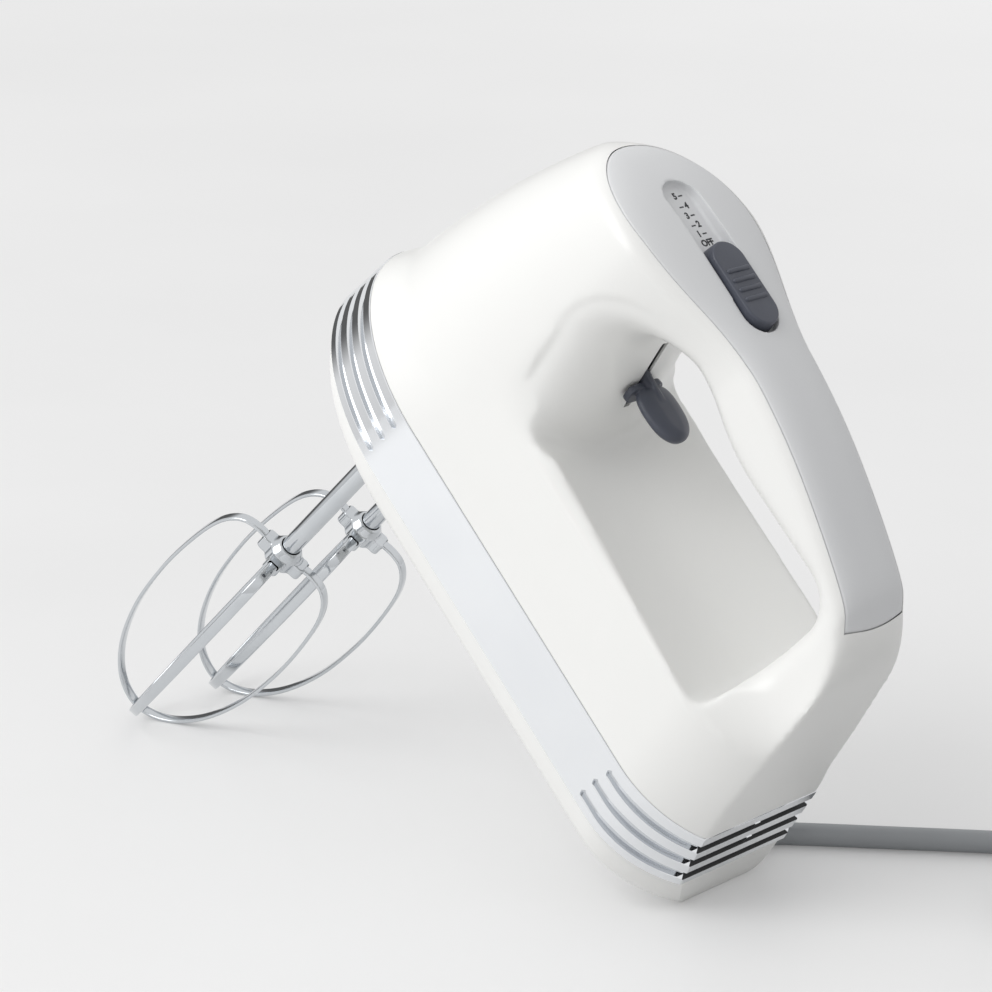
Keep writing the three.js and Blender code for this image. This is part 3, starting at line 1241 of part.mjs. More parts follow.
function coil() {
  const { inner, outer, height, corner } = COIL;
  const section = [
    [inner, corner], [inner + corner, 0], [outer - corner, 0], [outer, corner],
    [outer, height - corner], [outer - corner, height], [inner + corner, height], [inner, height - corner],
    [inner, corner],
  ];
  return turned(section, ...COIL_MIDDLE, 24);
}

// The plug lies on its broad side on the coil, a slim neck that swells into a flat grip.
function plugBody() {
  const [x, y, z] = TAIL.at(-1);
  const { half, height, length, seat } = PLUG;
  const tall = height / 2;
  const stops = [[0, 5, 5], [10, 6, 6], [16, half - 2, tall - 1], [20, half, tall], [length, half, tall]];
  const rings = stops.map(([at, w, h]) => {
    const outline = rounded([[w, -h, 4], [-w, -h, 4], [-w, h, 4], [w, h, 4]]);
    const points = outline.getSpacedPoints(24).slice(0, -1);
    return points.map((p) => new THREE.Vector3(x + p.x, y + GAP + at, z + p.y));
  });
  const end = y + GAP + length;
  const [wide, deep] = [BLADE.thick / 2 + GAP, BLADE.tall / 2 + GAP];
  const seats = [1, -1].map((side) => {
    const at = x + (side * PLUG.spacing) / 2;
    return solidOf(box(at - wide, at + wide, end - seat, end + 1, z - deep, z + deep));
  });
  return cut(solidOf(stack(rings)), ...seats);
}

function plugBlade(side) {
  const [x, y, z] = TAIL.at(-1);
  const { tall, thick, reach, tip } = BLADE;
  const end = y + GAP + PLUG.length;
  const root = end - PLUG.seat + GAP;
  const [low, high] = [z - tall / 2, z + tall / 2];
  const outline = rounded([
    [root, low, GAP], [end + reach, low, tip], [end + reach, high, tip], [root, high, GAP],
  ]);
  return new THREE.ExtrudeGeometry(outline, { depth: thick, bevelEnabled: false, curveSegments: 4 })
    .rotateX(Math.PI / 2)
    .rotateZ(Math.PI / 2)
    .translate(x + (side * PLUG.spacing) / 2 - thick / 2, 0, 0);
}

add(part, "mains_lead", lead(ROUTE, 18), "cord");
add(part, "lead_coil", coil(), "cord");
add(part, "plug_lead", lead(TAIL, 8), "cord");
add(part, "plug_body", plugBody(), "cord");
add(part, "plug_blade_left", plugBlade(-1), "brass");
add(part, "plug_blade_right", plugBlade(1), "brass");

export default part;
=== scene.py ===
"""A two-beater hand mixer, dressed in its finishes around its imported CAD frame.

Every piece is drawn in the mixer's own axes, in millimetres: x runs from the heel to the nose, y to
the mixer's left and z from the underside to the handle. MixerAxes then carries it into the frame.
"""

import json
import logging
import math
from dataclasses import dataclass
from enum import Enum
from typing import Any, Callable, Iterable, Mapping, Sequence

import bmesh
import bpy
import numpy as np
from mathutils import Matrix, Vector

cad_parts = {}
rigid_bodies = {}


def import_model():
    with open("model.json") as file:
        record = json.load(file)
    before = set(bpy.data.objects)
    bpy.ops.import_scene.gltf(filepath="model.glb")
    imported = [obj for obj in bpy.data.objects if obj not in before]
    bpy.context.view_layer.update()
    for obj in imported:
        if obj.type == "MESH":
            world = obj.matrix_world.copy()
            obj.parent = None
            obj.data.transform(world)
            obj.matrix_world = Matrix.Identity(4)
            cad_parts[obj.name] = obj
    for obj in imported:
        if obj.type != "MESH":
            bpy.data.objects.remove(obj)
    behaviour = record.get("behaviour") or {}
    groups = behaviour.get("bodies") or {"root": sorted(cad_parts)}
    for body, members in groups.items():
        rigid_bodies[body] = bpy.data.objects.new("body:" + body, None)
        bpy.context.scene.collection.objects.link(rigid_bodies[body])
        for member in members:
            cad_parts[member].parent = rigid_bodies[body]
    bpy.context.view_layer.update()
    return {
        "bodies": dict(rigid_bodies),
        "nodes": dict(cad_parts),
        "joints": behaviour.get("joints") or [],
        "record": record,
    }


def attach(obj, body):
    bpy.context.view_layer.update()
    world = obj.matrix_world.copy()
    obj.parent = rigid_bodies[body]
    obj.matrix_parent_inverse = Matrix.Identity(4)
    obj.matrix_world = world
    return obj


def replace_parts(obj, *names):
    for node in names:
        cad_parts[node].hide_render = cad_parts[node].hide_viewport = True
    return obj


log = logging.getLogger("mixer")

MM = 0.001

Point = tuple[float, float, float]
Flat = tuple[float, float]


# ---------------------------------------------------------------- the mixer's axes
@dataclass(frozen=True)
class MixerAxes:
    """The mixer's own axes as they stand in the frame.

    Attributes:
        matrix: Carries mixer millimetres to frame metres.
    """

    matrix: Matrix

    @classmethod
    def from_joints(cls, joints: Sequence[Mapping[str, Any]]) -> "MixerAxes":
        """Read the axes off three joints of the frame.

        Args:
            joints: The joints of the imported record.

        Returns:
            The axes: x along the slider's travel, z along a beater, origin under the motor's axis.
        """
        by_name = {joint["name"]: joint for joint in joints}
        x = Vector(by_name["speed_slide"]["axis"]).normalized()
        z = Vector(by_name["beater_left_spin"]["axis"]).normalized()
        y = z.cross(x)
        motor_height = 31.0
        origin = Vector(by_name["motor_spin"]["pos_m"]) - z * motor_height * MM
        turn = Matrix((x, y, z)).transposed().to_4x4()
        return cls(Matrix.Translation(origin) @ turn @ Matrix.Scale(MM, 4))

    def point(self, x: float, y: float, z: float) -> Vector:
        """Return a mixer point, given in millimetres, in frame metres."""
        return self.matrix @ Vector((x, y, z))

    def direction(self, x: float, y: float, z: float) -> Vector:
        """Return a mixer direction as a unit vector of the frame."""
        return (self.matrix.to_3x3() @ Vector((x, y, z))).normalized()

    def seat(self, piece: bpy.types.Object) -> bpy.types.Object:
        """Carry a piece drawn in mixer millimetres into the frame, in its mesh."""
        piece.data.transform(self.matrix)
        return piece


# ---------------------------------------------------------------- curves and outlines
def clamp01(value: float) -> float:
    """Return a value held between 0 and 1."""
    return min(1.0, max(0.0, value))


def smooth(value: float) -> float:
    """Return an S-shaped share of a share."""
    share = clamp01(value)
    return share * share * (3 - 2 * share)


def lerp(start: float, end: float, share: float) -> float:
    """Return the value at a share of the way from start to end."""
    return start + (end - start) * share


def through(points: Sequence[Sequence[float]], steps: int) -> np.ndarray:
    """Draw a smooth line through points.

    Args:
        points: The points that the line passes.
        steps: How many stretches lie between two neighbours.

    Returns:
        The line's points, one row each.
    """
    given = np.asarray(points, float)
    padded = np.vstack([given[0], given, given[-1]])
    line = []
    for i in range(len(given) - 1):
        before, start, end, after = padded[i : i + 4]
        slope_in, slope_out = (end - before) / 2, (after - start) / 2
        for share in np.arange(steps) / steps:
            cube, square = share**3, share**2
            line.append(
                (2 * cube - 3 * square + 1) * start
                + (cube - 2 * square + share) * slope_in
                + (3 * square - 2 * cube) * end
                + (cube - square) * slope_out
            )
    return np.vstack([line, given[-1]])


def evenly(line: np.ndarray, count: int) -> np.ndarray:
    """Space points evenly along a line.

    Args:
        line: The line's points.
        count: How many points it gives.

    Returns:
        The points, at equal distances.
    """
    steps = np.linalg.norm(np.diff(line, axis=0), axis=1)
    reach = np.concatenate([[0], np.cumsum(steps)])
    wanted = np.linspace(0, reach[-1], count)
    return np.stack([np.interp(wanted, reach, line[:, k]) for k in range(line.shape[1])], axis=1)


def rounded(corners: Sequence[Sequence[float]], steps: int = 8) -> np.ndarray:
    """Draw a closed outline with rounded corners.

    Args:
        corners: Each corner's two coordinates and its radius.
        steps: How many stretches each corner takes.

    Returns:
        The outline's points, the first not repeated.
    """
    outline = []
    count = len(corners)
    for i, (x, y, radius) in enumerate(corners):
        here = np.array([x, y], float)
        before = np.array(corners[i - 1][:2], float) - here
        after = np.array(corners[(i + 1) % count][:2], float) - here
        before, after = before / np.linalg.norm(before), after / np.linalg.norm(after)
        half = math.acos(max(-1.0, min(1.0, float(before @ after)))) / 2
        bisector = (before + after) / np.linalg.norm(before + after)
        middle = here + bisector * radius / math.sin(half)
        start = here + before * radius / math.tan(half) - middle
        end = here + after * radius / math.tan(half) - middle
        first = math.atan2(start[1], start[0])
        sweep = (math.atan2(end[1], end[0]) - first + math.pi) % (2 * math.pi) - math.pi
        for share in np.linspace(0, 1, steps + 1):
            angle = first + sweep * share
            outline.append(middle + radius * np.array([math.cos(angle), math.sin(angle)]))
    return np.array(outline)


def capsule(x0: float, x1: float, half: float, steps: int = 24) -> np.ndarray:
    """Draw the outline of a bar with round ends, along x and centred on y.

    Args:
        x0: Its rear end.
        x1: Its front end.
        half: Half the width.
        steps: How many stretches each end takes.

    Returns:
        The outline's points.
    """
    turns = np.linspace(-math.pi / 2, math.pi / 2, steps + 1)
    front = np.stack([x1 - half + half * np.cos(turns), half * np.sin(turns)], axis=1)
    back = np.stack([x0 + half - half * np.cos(turns), -half * np.sin(turns)], axis=1)
    return np.vstack([front, back])


# ---------------------------------------------------------------- meshes
def placed(name: str, data: bpy.types.ID) -> bpy.types.Object:
    """Show something in the scene.

    Args:
        name: The object's name.
        data: A mesh, curve, lamp or camera.

    Returns:
        The new object.
    """
    made = bpy.data.objects.new(name, data)
    bpy.context.scene.collection.objects.link(made)
    return made


def piece_of(
    name: str, points: Iterable[Sequence[float]], faces: Iterable[Sequence[int]]
) -> bpy.types.Object:
    """Make a mesh object whose faces look outward.

    Args:
        name: The object's name.
        points: Its vertices.
        faces: The vertices of each face.

    Returns:
        The object, linked to the scene.
    """
    mesh = bpy.data.meshes.new(name)
    mesh.from_pydata([tuple(float(v) for v in p) for p in points], [], [tuple(f) for f in faces])
    shape = bmesh.new()
    shape.from_mesh(mesh)
    bmesh.ops.remove_doubles(shape, verts=shape.verts, dist=1e-4)
    bmesh.ops.recalc_face_normals(shape, faces=shape.faces)
    shape.to_mesh(mesh)
    shape.free()
    return placed(name, mesh)


def skin(rings: int, count: int, closed: bool = False) -> list[tuple[int, ...]]:
    """List the faces between neighbouring rings.

    Args:
        rings: How many rings there are.
        count: How many points each has.
        closed: Whether the last ring meets the first.

    Returns:
        The faces, by the numbers of their points.
    """
    faces = []
    for r in range(rings if closed else rings - 1):
        low, high = r * count, (r + 1) % rings * count
        for i in range(count):
            j = (i + 1) % count
            faces.append((low + i, low + j, high + j, high + i))
    return faces


def at_height(outline: np.ndarray, z: float) -> np.ndarray:
    """Return a plan outline as points at a height."""
    return np.column_stack([outline, np.full(len(outline), z)])


def stacked(name: str, rings: Sequence[np.ndarray]) -> bpy.types.Object:
    """Close a body through rings of equal count, with a flat face at each end.

    Args:
        name: The object's name.
        rings: The points of each ring.

    Returns:
        The body.
    """
    count = len(rings[0])
    last = (len(rings) - 1) * count
    ends = [tuple(range(count)), tuple(last + i for i in range(count))]
    return piece_of(name, np.vstack(rings), skin(len(rings), count) + ends)


def lofted(name: str, rings: Sequence[np.ndarray]) -> bpy.types.Object:
    """Close a body through cross-sections that mirror about y = 0, with strips across each end.

    Args:
        name: The object's name.
        rings: The points of each cross-section.

    Returns:
        The body.
    """
    count = len(rings[0])
    faces = skin(len(rings), count)
    for base in (0, (len(rings) - 1) * count):
        for i in range(count // 2):
            strip = (i, count - 1 - i, count - 2 - i, i + 1)
            faces.append(tuple(dict.fromkeys(base + k for k in strip)))
    return piece_of(name, np.vstack(rings), faces)


def prism(name: str, outline: np.ndarray, z0: float, z1: float) -> bpy.types.Object:
    """Raise a plan outline from z0 to z1."""
    return stacked(name, [at_height(outline, z) for z in (z0, z1)])


def side_prism(name: str, outline: np.ndarray, y0: float, y1: float) -> bpy.types.Object:
    """Draw an outline given in x and z across the mixer, from y0 to y1."""
    x, z = outline.T
    return stacked(name, [np.column_stack([x, np.full(len(x), y), z]) for y in (y0, y1)])


def turned(name: str, profile: Sequence[Flat], steps: int = 48) -> bpy.types.Object:
    """Turn a profile of radius and height about z.

    Args:
        name: The object's name.
        profile: An open profile that starts and ends on the axis, or a closed one off it.
        steps: How many facets go round.

    Returns:
        The turned body.
    """
    turns = np.arange(steps) / steps * 2 * math.pi
    circle = np.stack([np.cos(turns), np.sin(turns)], axis=1)
    rings = [at_height(r * circle, z) for r, z in profile]
    off_axis = profile[0][0] > 1e-6
    body = piece_of(name, np.vstack(rings), skin(len(rings), steps, closed=off_axis))
    shape = bmesh.new()
    shape.from_mesh(body.data)
    bmesh.ops.dissolve_degenerate(shape, dist=1e-5, edges=shape.edges)
    shape.to_mesh(body.data)
    shape.free()
    return body


def brick(name: str, x: Flat, y: Flat, z: Flat) -> bpy.types.Object:
    """Make a cutter with square corners, from its limits on each axis."""
    outline = np.array([(x[0], y[0]), (x[1], y[0]), (x[1], y[1]), (x[0], y[1])])
    return prism(name, outline, z[0], z[1])


def moved(piece: bpy.types.Object, x: float = 0, y: float = 0, z: float = 0) -> bpy.types.Object:
    """Move a piece's mesh and return the piece."""
    piece.data.transform(Matrix.Translation((x, y, z)))
    return piece


def turned_by(piece: bpy.types.Object, degrees: float, axis: str) -> bpy.types.Object:
    """Turn a piece's mesh about an axis through the origin and return the piece."""
    piece.data.transform(Matrix.Rotation(math.radians(degrees), 4, axis))
    return piece


def copied(piece: bpy.types.Object, name: str) -> bpy.types.Object:
    """Return a separate copy of a piece."""
    return placed(name, piece.data.copy())


def discard(*pieces: bpy.types.Object) -> None:
    """Remove pieces that were only needed to shape another."""
    for piece in pieces:
        mesh = piece.data
        bpy.data.objects.remove(piece)
        bpy.data.meshes.remove(mesh)


def settle(piece: bpy.types.Object) -> bpy.types.Object:
    """Work a piece's modifiers into its mesh.

    Args:
        piece: The piece.

    Returns:
        The piece, without modifiers.
    """
    graph = bpy.context.evaluated_depsgraph_get()
    mesh = bpy.data.meshes.new_from_object(piece.evaluated_get(graph))
    old = piece.data
    piece.modifiers.clear()
    piece.data = mesh
    bpy.data.meshes.remove(old)
    return piece


class Join(Enum):
    """How one body acts on another."""

    ADD = "UNION"
    CUT = "DIFFERENCE"
    KEEP = "INTERSECT"


def combine(
    piece: bpy.types.Object, how: Join, *others: bpy.types.Object, keep: bool = False
) -> bpy.types.Object:
    """Join, cut or trim a piece with other bodies.

    Args:
        piece: The body that is changed.
        how: What the others do to it.
        others: The other bodies.
        keep: Whether the others stay in the scene.

    Returns:
        The changed piece.
    """
    for other in others:
        step = piece.modifiers.new("combine", "BOOLEAN")
        step.operation = how.value
        step.solver = "MANIFOLD"
        step.object = other
        settle(piece)
    if not keep:
        discard(*others)
    return piece


def soften(piece: bpy.types.Object, voxel: float, rounds: int) -> bpy.types.Object:
    """Give a body the soft edges of a moulding.

    Args:
        piece: The body.
        voxel: The size of its new facets.
        rounds: How far its edges are eased.

    Returns:
        The softened piece.
    """
    remesh = piece.modifiers.new("skin", "REMESH")
    remesh.mode = "VOXEL"
    remesh.voxel_size = voxel
    ease = piece.modifiers.new("ease", "SMOOTH")
    ease.factor = 0.5
    ease.iterations = rounds
    return settle(piece)


def shade(piece: bpy.types.Object, degrees: float = 32) -> bpy.types.Object:
    """Shade a mesh smooth, apart from its sharp edges.

    Args:
        piece: The piece.
        degrees: How sharp an edge may be and still look smooth.

    Returns:
        The piece.
    """
    piece.data.polygons.foreach_set("use_smooth", [True] * len(piece.data.polygons))
    piece.data.set_sharp_from_angle(angle=math.radians(degrees))
    return piece


# ---------------------------------------------------------------- finishes
def linear(colour: str, alpha: float = 1.0) -> tuple[float, float, float, float]:
    """Turn an sRGB colour to linear light.

    Args:
        colour: The colour in hex.
        alpha: Its opacity.

    Returns:
        Red, green, blue and alpha.
    """
    shares = [int(colour[i : i + 2], 16) / 255 for i in (1, 3, 5)]
    curve = [s / 12.92 if s <= 0.04045 else ((s + 0.055) / 1.055) ** 2.4 for s in shares]
    return curve[0], curve[1], curve[2], alpha


def add_node(
    tree: bpy.types.NodeTree,
    kind: str,
    settings: Mapping[str | int, Any] | None = None,
    links: Mapping[str | int, bpy.types.NodeSocket] | None = None,
) -> bpy.types.Node:
    """Add one node with its settings and links.

    Args:
        tree: The material's or the world's node tree.
        kind: The node's type.
        settings: Values of its attributes by name, or of its inputs by name or number.
        links: The output that each input takes, by the input's name or number.

    Returns:
        The new node.
    """
    made = tree.nodes.new(kind)
    for name, value in (settings or {}).items():
        if isinstance(name, str) and hasattr(made, name):
            setattr(made, name, value)
        else:
            made.inputs[name].default_value = value
    for name, output in (links or {}).items():
        tree.links.new(output, made.inputs[name])
    return made


@dataclass(frozen=True)
class Finish:
    """A surface as a maker would name it.

    Attributes:
        name: The substance and how its surface was made.
        colour: Its sRGB colour.
        second: A second sRGB colour that it varies towards.
        patch_mm: The size of a patch of colour.
        grain_mm: The size of the surface's grain.
        relief: How strongly the grain stands out.
        relief_mm: The grain's depth.
        roughness: The shader's roughness.
        spread: How far the roughness varies.
        metallic: 1 on bare metal.
        ior: The index of refraction of a plastic.
    """

    name: str
    colour: str
    second: str
    patch_mm: float = 30.0
    grain_mm: float = 1.2
    relief: float = 0.1
    relief_mm: float = 0.02
    roughness: float = 0.4
    spread: float = 0.05
    metallic: float = 0.0
    ior: float = 1.5

    def pattern(self, tree: bpy.types.NodeTree, place: bpy.types.NodeSocket) -> bpy.types.NodeSocket:
        """Return the height of the surface's grain, from 0 to 1, at each place."""
        grain = add_node(
            tree, "ShaderNodeTexNoise", {"Scale": 1 / (self.grain_mm * MM), "Detail": 3.0}, {"Vector": place}
        )
        return grain.outputs["Fac"]

    def material(self) -> bpy.types.Material:
        """Make the material once and give it back afterwards.

        Returns:
            The material.
        """
        found = bpy.data.materials.get(self.name)
        if found:
            return found
        made = bpy.data.materials.new(self.name)
        made.use_nodes = True
        made.diffuse_color = linear(self.colour)
        tree = made.node_tree
        shader = tree.nodes["Principled BSDF"]
        shader.inputs["Metallic"].default_value = self.metallic
        if not self.metallic:
            shader.inputs["IOR"].default_value = self.ior
        place = add_node(tree, "ShaderNodeTexCoord").outputs["Object"]
        patches = add_node(
            tree, "ShaderNodeTexNoise", {"Scale": 1 / (self.patch_mm * MM), "Detail": 2.0}, {"Vector": place}
        ).outputs["Fac"]
        height = self.pattern(tree, place)
        blend = add_node(
            tree,
            "ShaderNodeMix",
            {"data_type": "RGBA", 6: linear(self.colour), 7: linear(self.second)},
            {"Factor": self.shade_by(patches, height)},
        )
        rough = add_node(
            tree,
            "ShaderNodeMapRange",
            {"To Min": self.roughness - self.spread, "To Max": self.roughness + self.spread},
            {"Value": patches},
        )
        bump = add_node(
            tree,
            "ShaderNodeBump",
            {"Strength": self.relief, "Distance": self.relief_mm * MM},
            {"Height": height},
        )
        tree.links.new(blend.outputs[2], shader.inputs["Base Color"])
        tree.links.new(rough.outputs["Result"], shader.inputs["Roughness"])
        tree.links.new(bump.outputs["Normal"], shader.inputs["Normal"])
        return made

    def shade_by(self, patches: bpy.types.NodeSocket, height: bpy.types.NodeSocket) -> bpy.types.NodeSocket:
        """Return what turns the first colour to the second: patches, unless a kind of finish differs."""
        return patches

    def dress(self, piece: bpy.types.Object, slot: str | None = None) -> bpy.types.Object:
        """Give a piece this finish.

        Args:
            piece: A piece of the scene, or a node of the frame.
            slot: The record's slot of the piece; not used.

        Returns:
            The piece.
        """
        piece.data.materials.clear()
        piece.data.materials.append(self.material())
        return piece


@dataclass(frozen=True)
class LinedFinish(Finish):
    """A surface with fine lines across one axis, such as turned steel, laminations or wound wire.

    Attributes:
        line_mm: The distance from line to line.
        across: The direction, in the frame, that the lines cross.
    """

    line_mm: float = 1.0
    across: Point = (0.7, 0.0, 0.714)

    def pattern(self, tree: bpy.types.NodeTree, place: bpy.types.NodeSocket) -> bpy.types.NodeSocket:
        """Draw a wave that rises and falls once a line.

        Args:
            tree: The node tree of the material or world.
            place: The place on the surface.

        Returns:
            The wave's height, from 0 to 1.
        """
        along = add_node(
            tree, "ShaderNodeVectorMath", {"operation": "DOT_PRODUCT", 1: self.across}, {0: place}
        )
        turns = 2 * math.pi / (self.line_mm * MM)
        phase = add_node(
            tree, "ShaderNodeMath", {"operation": "MULTIPLY", 1: turns}, {0: along.outputs["Value"]}
        )
        wave = add_node(tree, "ShaderNodeMath", {"operation": "SINE"}, {0: phase.outputs[0]})
        return add_node(
            tree, "ShaderNodeMapRange", {"From Min": -1.0, "From Max": 1.0}, {"Value": wave.outputs[0]}
        ).outputs["Result"]

    def shade_by(self, patches: bpy.types.NodeSocket, height: bpy.types.NodeSocket) -> bpy.types.NodeSocket:
        """Return the wave, so each line shows its own shade."""
        return height


@dataclass(frozen=True)
class TrackedFinish(Finish):
    """A board with printed copper tracks under its varnish.

    Attributes:
        track_mm: The distance between tracks.
    """

    track_mm: float = 2.4

    def pattern(self, tree: bpy.types.NodeTree, place: bpy.types.NodeSocket) -> bpy.types.NodeSocket:
        """Return the raised tracks."""
        cells = add_node(
            tree,
            "ShaderNodeTexVoronoi",
            {"feature": "DISTANCE_TO_EDGE", "Scale": 1 / (self.track_mm * MM)},
            {"Vector": place},
        )
        return add_node(
            tree,
            "ShaderNodeMapRange",
            {"From Min": 0.05, "From Max": 0.12},
            {"Value": cells.outputs["Distance"]},
        ).outputs["Result"]


# Gloss-moulded ABS: the white shell, bright and clean, with a soft sheen that rolls round its edges.
WHITE_ABS = Finish("white_abs_moulded", "#f4f4f2", "#efefed", 60, 1.6, 0.05, 0.01, 0.3, 0.04)
# The same plastic in light grey, textured finer and duller, so the cover reads as its own piece.
GREY_ABS = Finish("light_grey_abs_satin", "#e0e1e2", "#dadbdd", 40, 0.9, 0.12, 0.02, 0.42, 0.04)
# Slate ABS from a spark-textured mould: a fine grain breaks the highlight on thumb pieces. The real
# grain is near 0.1 mm and is drawn at 0.45 mm, so that it still shows.
SLATE_ABS = Finish("slate_abs_spark_textured", "#4a4e5a", "#42454f", 12, 0.45, 0.35, 0.03, 0.42, 0.06)
# Bright chrome plating on ABS: a mirror whose reflections waver over the moulding's slight sink.
CHROMED_ABS = Finish("chrome_plated_abs", "#e8eaec", "#dfe1e4", 25, 9.0, 0.04, 0.03, 0.07, 0.02, 1.0)
# Chrome-plated spring steel: the beater wires, polished but drawn, so highlights run along them.
CHROMED_STEEL = Finish("chrome_plated_steel_wire", "#cfd2d5", "#bfc3c7", 15, 2.5, 0.06, 0.02, 0.12, 0.04, 1.0)
# Turned steel: rings from the lathe tool cross the bar. Real ones are 0.1 mm apart, drawn at 0.5 mm.
TURNED_STEEL = LinedFinish(
    "steel_turned", "#a4a7ab", "#8b8e92", 8, 1, 0.25, 0.02, 0.28, 0.05, 1.0, line_mm=0.5
)
# Electrical steel in 0.5 mm sheets, drawn at 0.9 mm: the stack's edges show as dark lines.
LAMINATED_IRON = LinedFinish(
    "electrical_steel_laminated", "#74777b", "#4d5053", 9, 1, 0.6, 0.05, 0.45, 0.08, 1.0, line_mm=0.9
)
# Enamelled copper wire, 0.4 mm, drawn at 0.7 mm: wound strands with a varnished gloss.
WOUND_COPPER = LinedFinish(
    "copper_wire_enamelled", "#b4683a", "#7c3f1f", 6, 1, 0.9, 0.12, 0.32, 0.08, 1.0, line_mm=0.7
)
# Sintered bronze: dull gold, pitted by the powder it was pressed from.
SINTERED_BRONZE = Finish("bronze_sintered", "#b08d4c", "#8f6f38", 4, 0.5, 0.5, 0.04, 0.42, 0.08, 1.0)
# Glass-filled nylon: off-white, with the pale swirl of its fibres.
GLASS_NYLON = Finish("glass_filled_nylon_moulded", "#dcd8ca", "#c9c4b3", 7, 0.8, 0.25, 0.03, 0.5, 0.08)
# Painted shade in the slots: a matt, dark finish on the vents' floors and ceilings stands in for the shade
# inside them, so the slots read as holes.
PAINTED_SLOT_SHADE = Finish("black_abs_unplated", "#151618", "#1d1e20", 12, 0.8, 0.3, 0.03, 0.6, 0.08)
# Black nylon, as moulded: a low sheen over a faint grain.
BLACK_NYLON = Finish("black_nylon_moulded", "#232427", "#2e3033", 9, 0.7, 0.25, 0.03, 0.5, 0.08)
# Glass-fibre board with varnished copper tracks.
CIRCUIT_BOARD = TrackedFinish(
    "glass_fibre_board_varnished", "#2f6b42", "#3f8455", 5, 1, 0.4, 0.03, 0.35, 0.06
)
# Pressed carbon: black and grainy, polished where it runs.
PRESSED_CARBON = Finish("carbon_pressed", "#1d1e20", "#2c2d30", 3, 0.4, 0.5, 0.05, 0.55, 0.1)
# Flexible vinyl, extruded: the grey cord, with a faint drawn texture and a soft sheen.
CORD_VINYL = Finish("flexible_vinyl_extruded", "#9ea1a4", "#94979a", 20, 0.8, 0.2, 0.03, 0.45, 0.06)
# Pad-printed ink, dark and matt, as thin as paint.
PRINT_INK = Finish("pad_print_ink", "#26272a", "#303135", 3, 0.5, 0.2, 0.01, 0.55, 0.05)
# Nickel-plated brass: the plug's blades, warm grey and softly brushed.
PLATED_BRASS = LinedFinish(
    "brass_nickel_plated", "#c6c1b4", "#aaa496", 6, 1, 0.2, 0.02, 0.25, 0.05, 1.0, line_mm=0.6
)
# Black vinyl-coated wire: the tie round the stored lead.
TIE_VINYL = Finish("tie_vinyl_coated", "#2b2c2f", "#36373a", 4, 0.6, 0.2, 0.02, 0.45, 0.05)

SLOT_FINISHES: dict[str, Finish] = {
    "white_abs": WHITE_ABS,
    "grey_panel": GREY_ABS,
    "slate_abs": SLATE_ABS,
    "chromed_abs": CHROMED_ABS,
    "chromed_steel": CHROMED_STEEL,
    "steel": TURNED_STEEL,
    "iron": LAMINATED_IRON,
    "copper": WOUND_COPPER,
    "bronze": SINTERED_BRONZE,
    "white_nylon": GLASS_NYLON,
    "black_nylon": BLACK_NYLON,
    "circuit_board": CIRCUIT_BOARD,
    "carbon": PRESSED_CARBON,
    "cord_vinyl": CORD_VINYL,
}


# ---------------------------------------------------------------- camera, floor and light
def seen_by_eye(tree: bpy.types.NodeTree) -> bpy.types.NodeSocket:
    """Tell what is looked at, straight, in a mirror or through glass, from light that falls.

    Args:
        tree: The node tree of the material or world.

    Returns:
        1 on what is looked at, and 0 on light that falls.
    """
    rays = add_node(tree, "ShaderNodeLightPath").outputs
    either = {"operation": "MAXIMUM"}
    looks = add_node(tree, "ShaderNodeMath", either, {0: rays["Is Camera Ray"], 1: rays["Is Glossy Ray"]})
    through_glass = rays["Is Transmission Ray"]
    return add_node(tree, "ShaderNodeMath", either, {0: looks.outputs[0], 1: through_glass}).outputs[0]


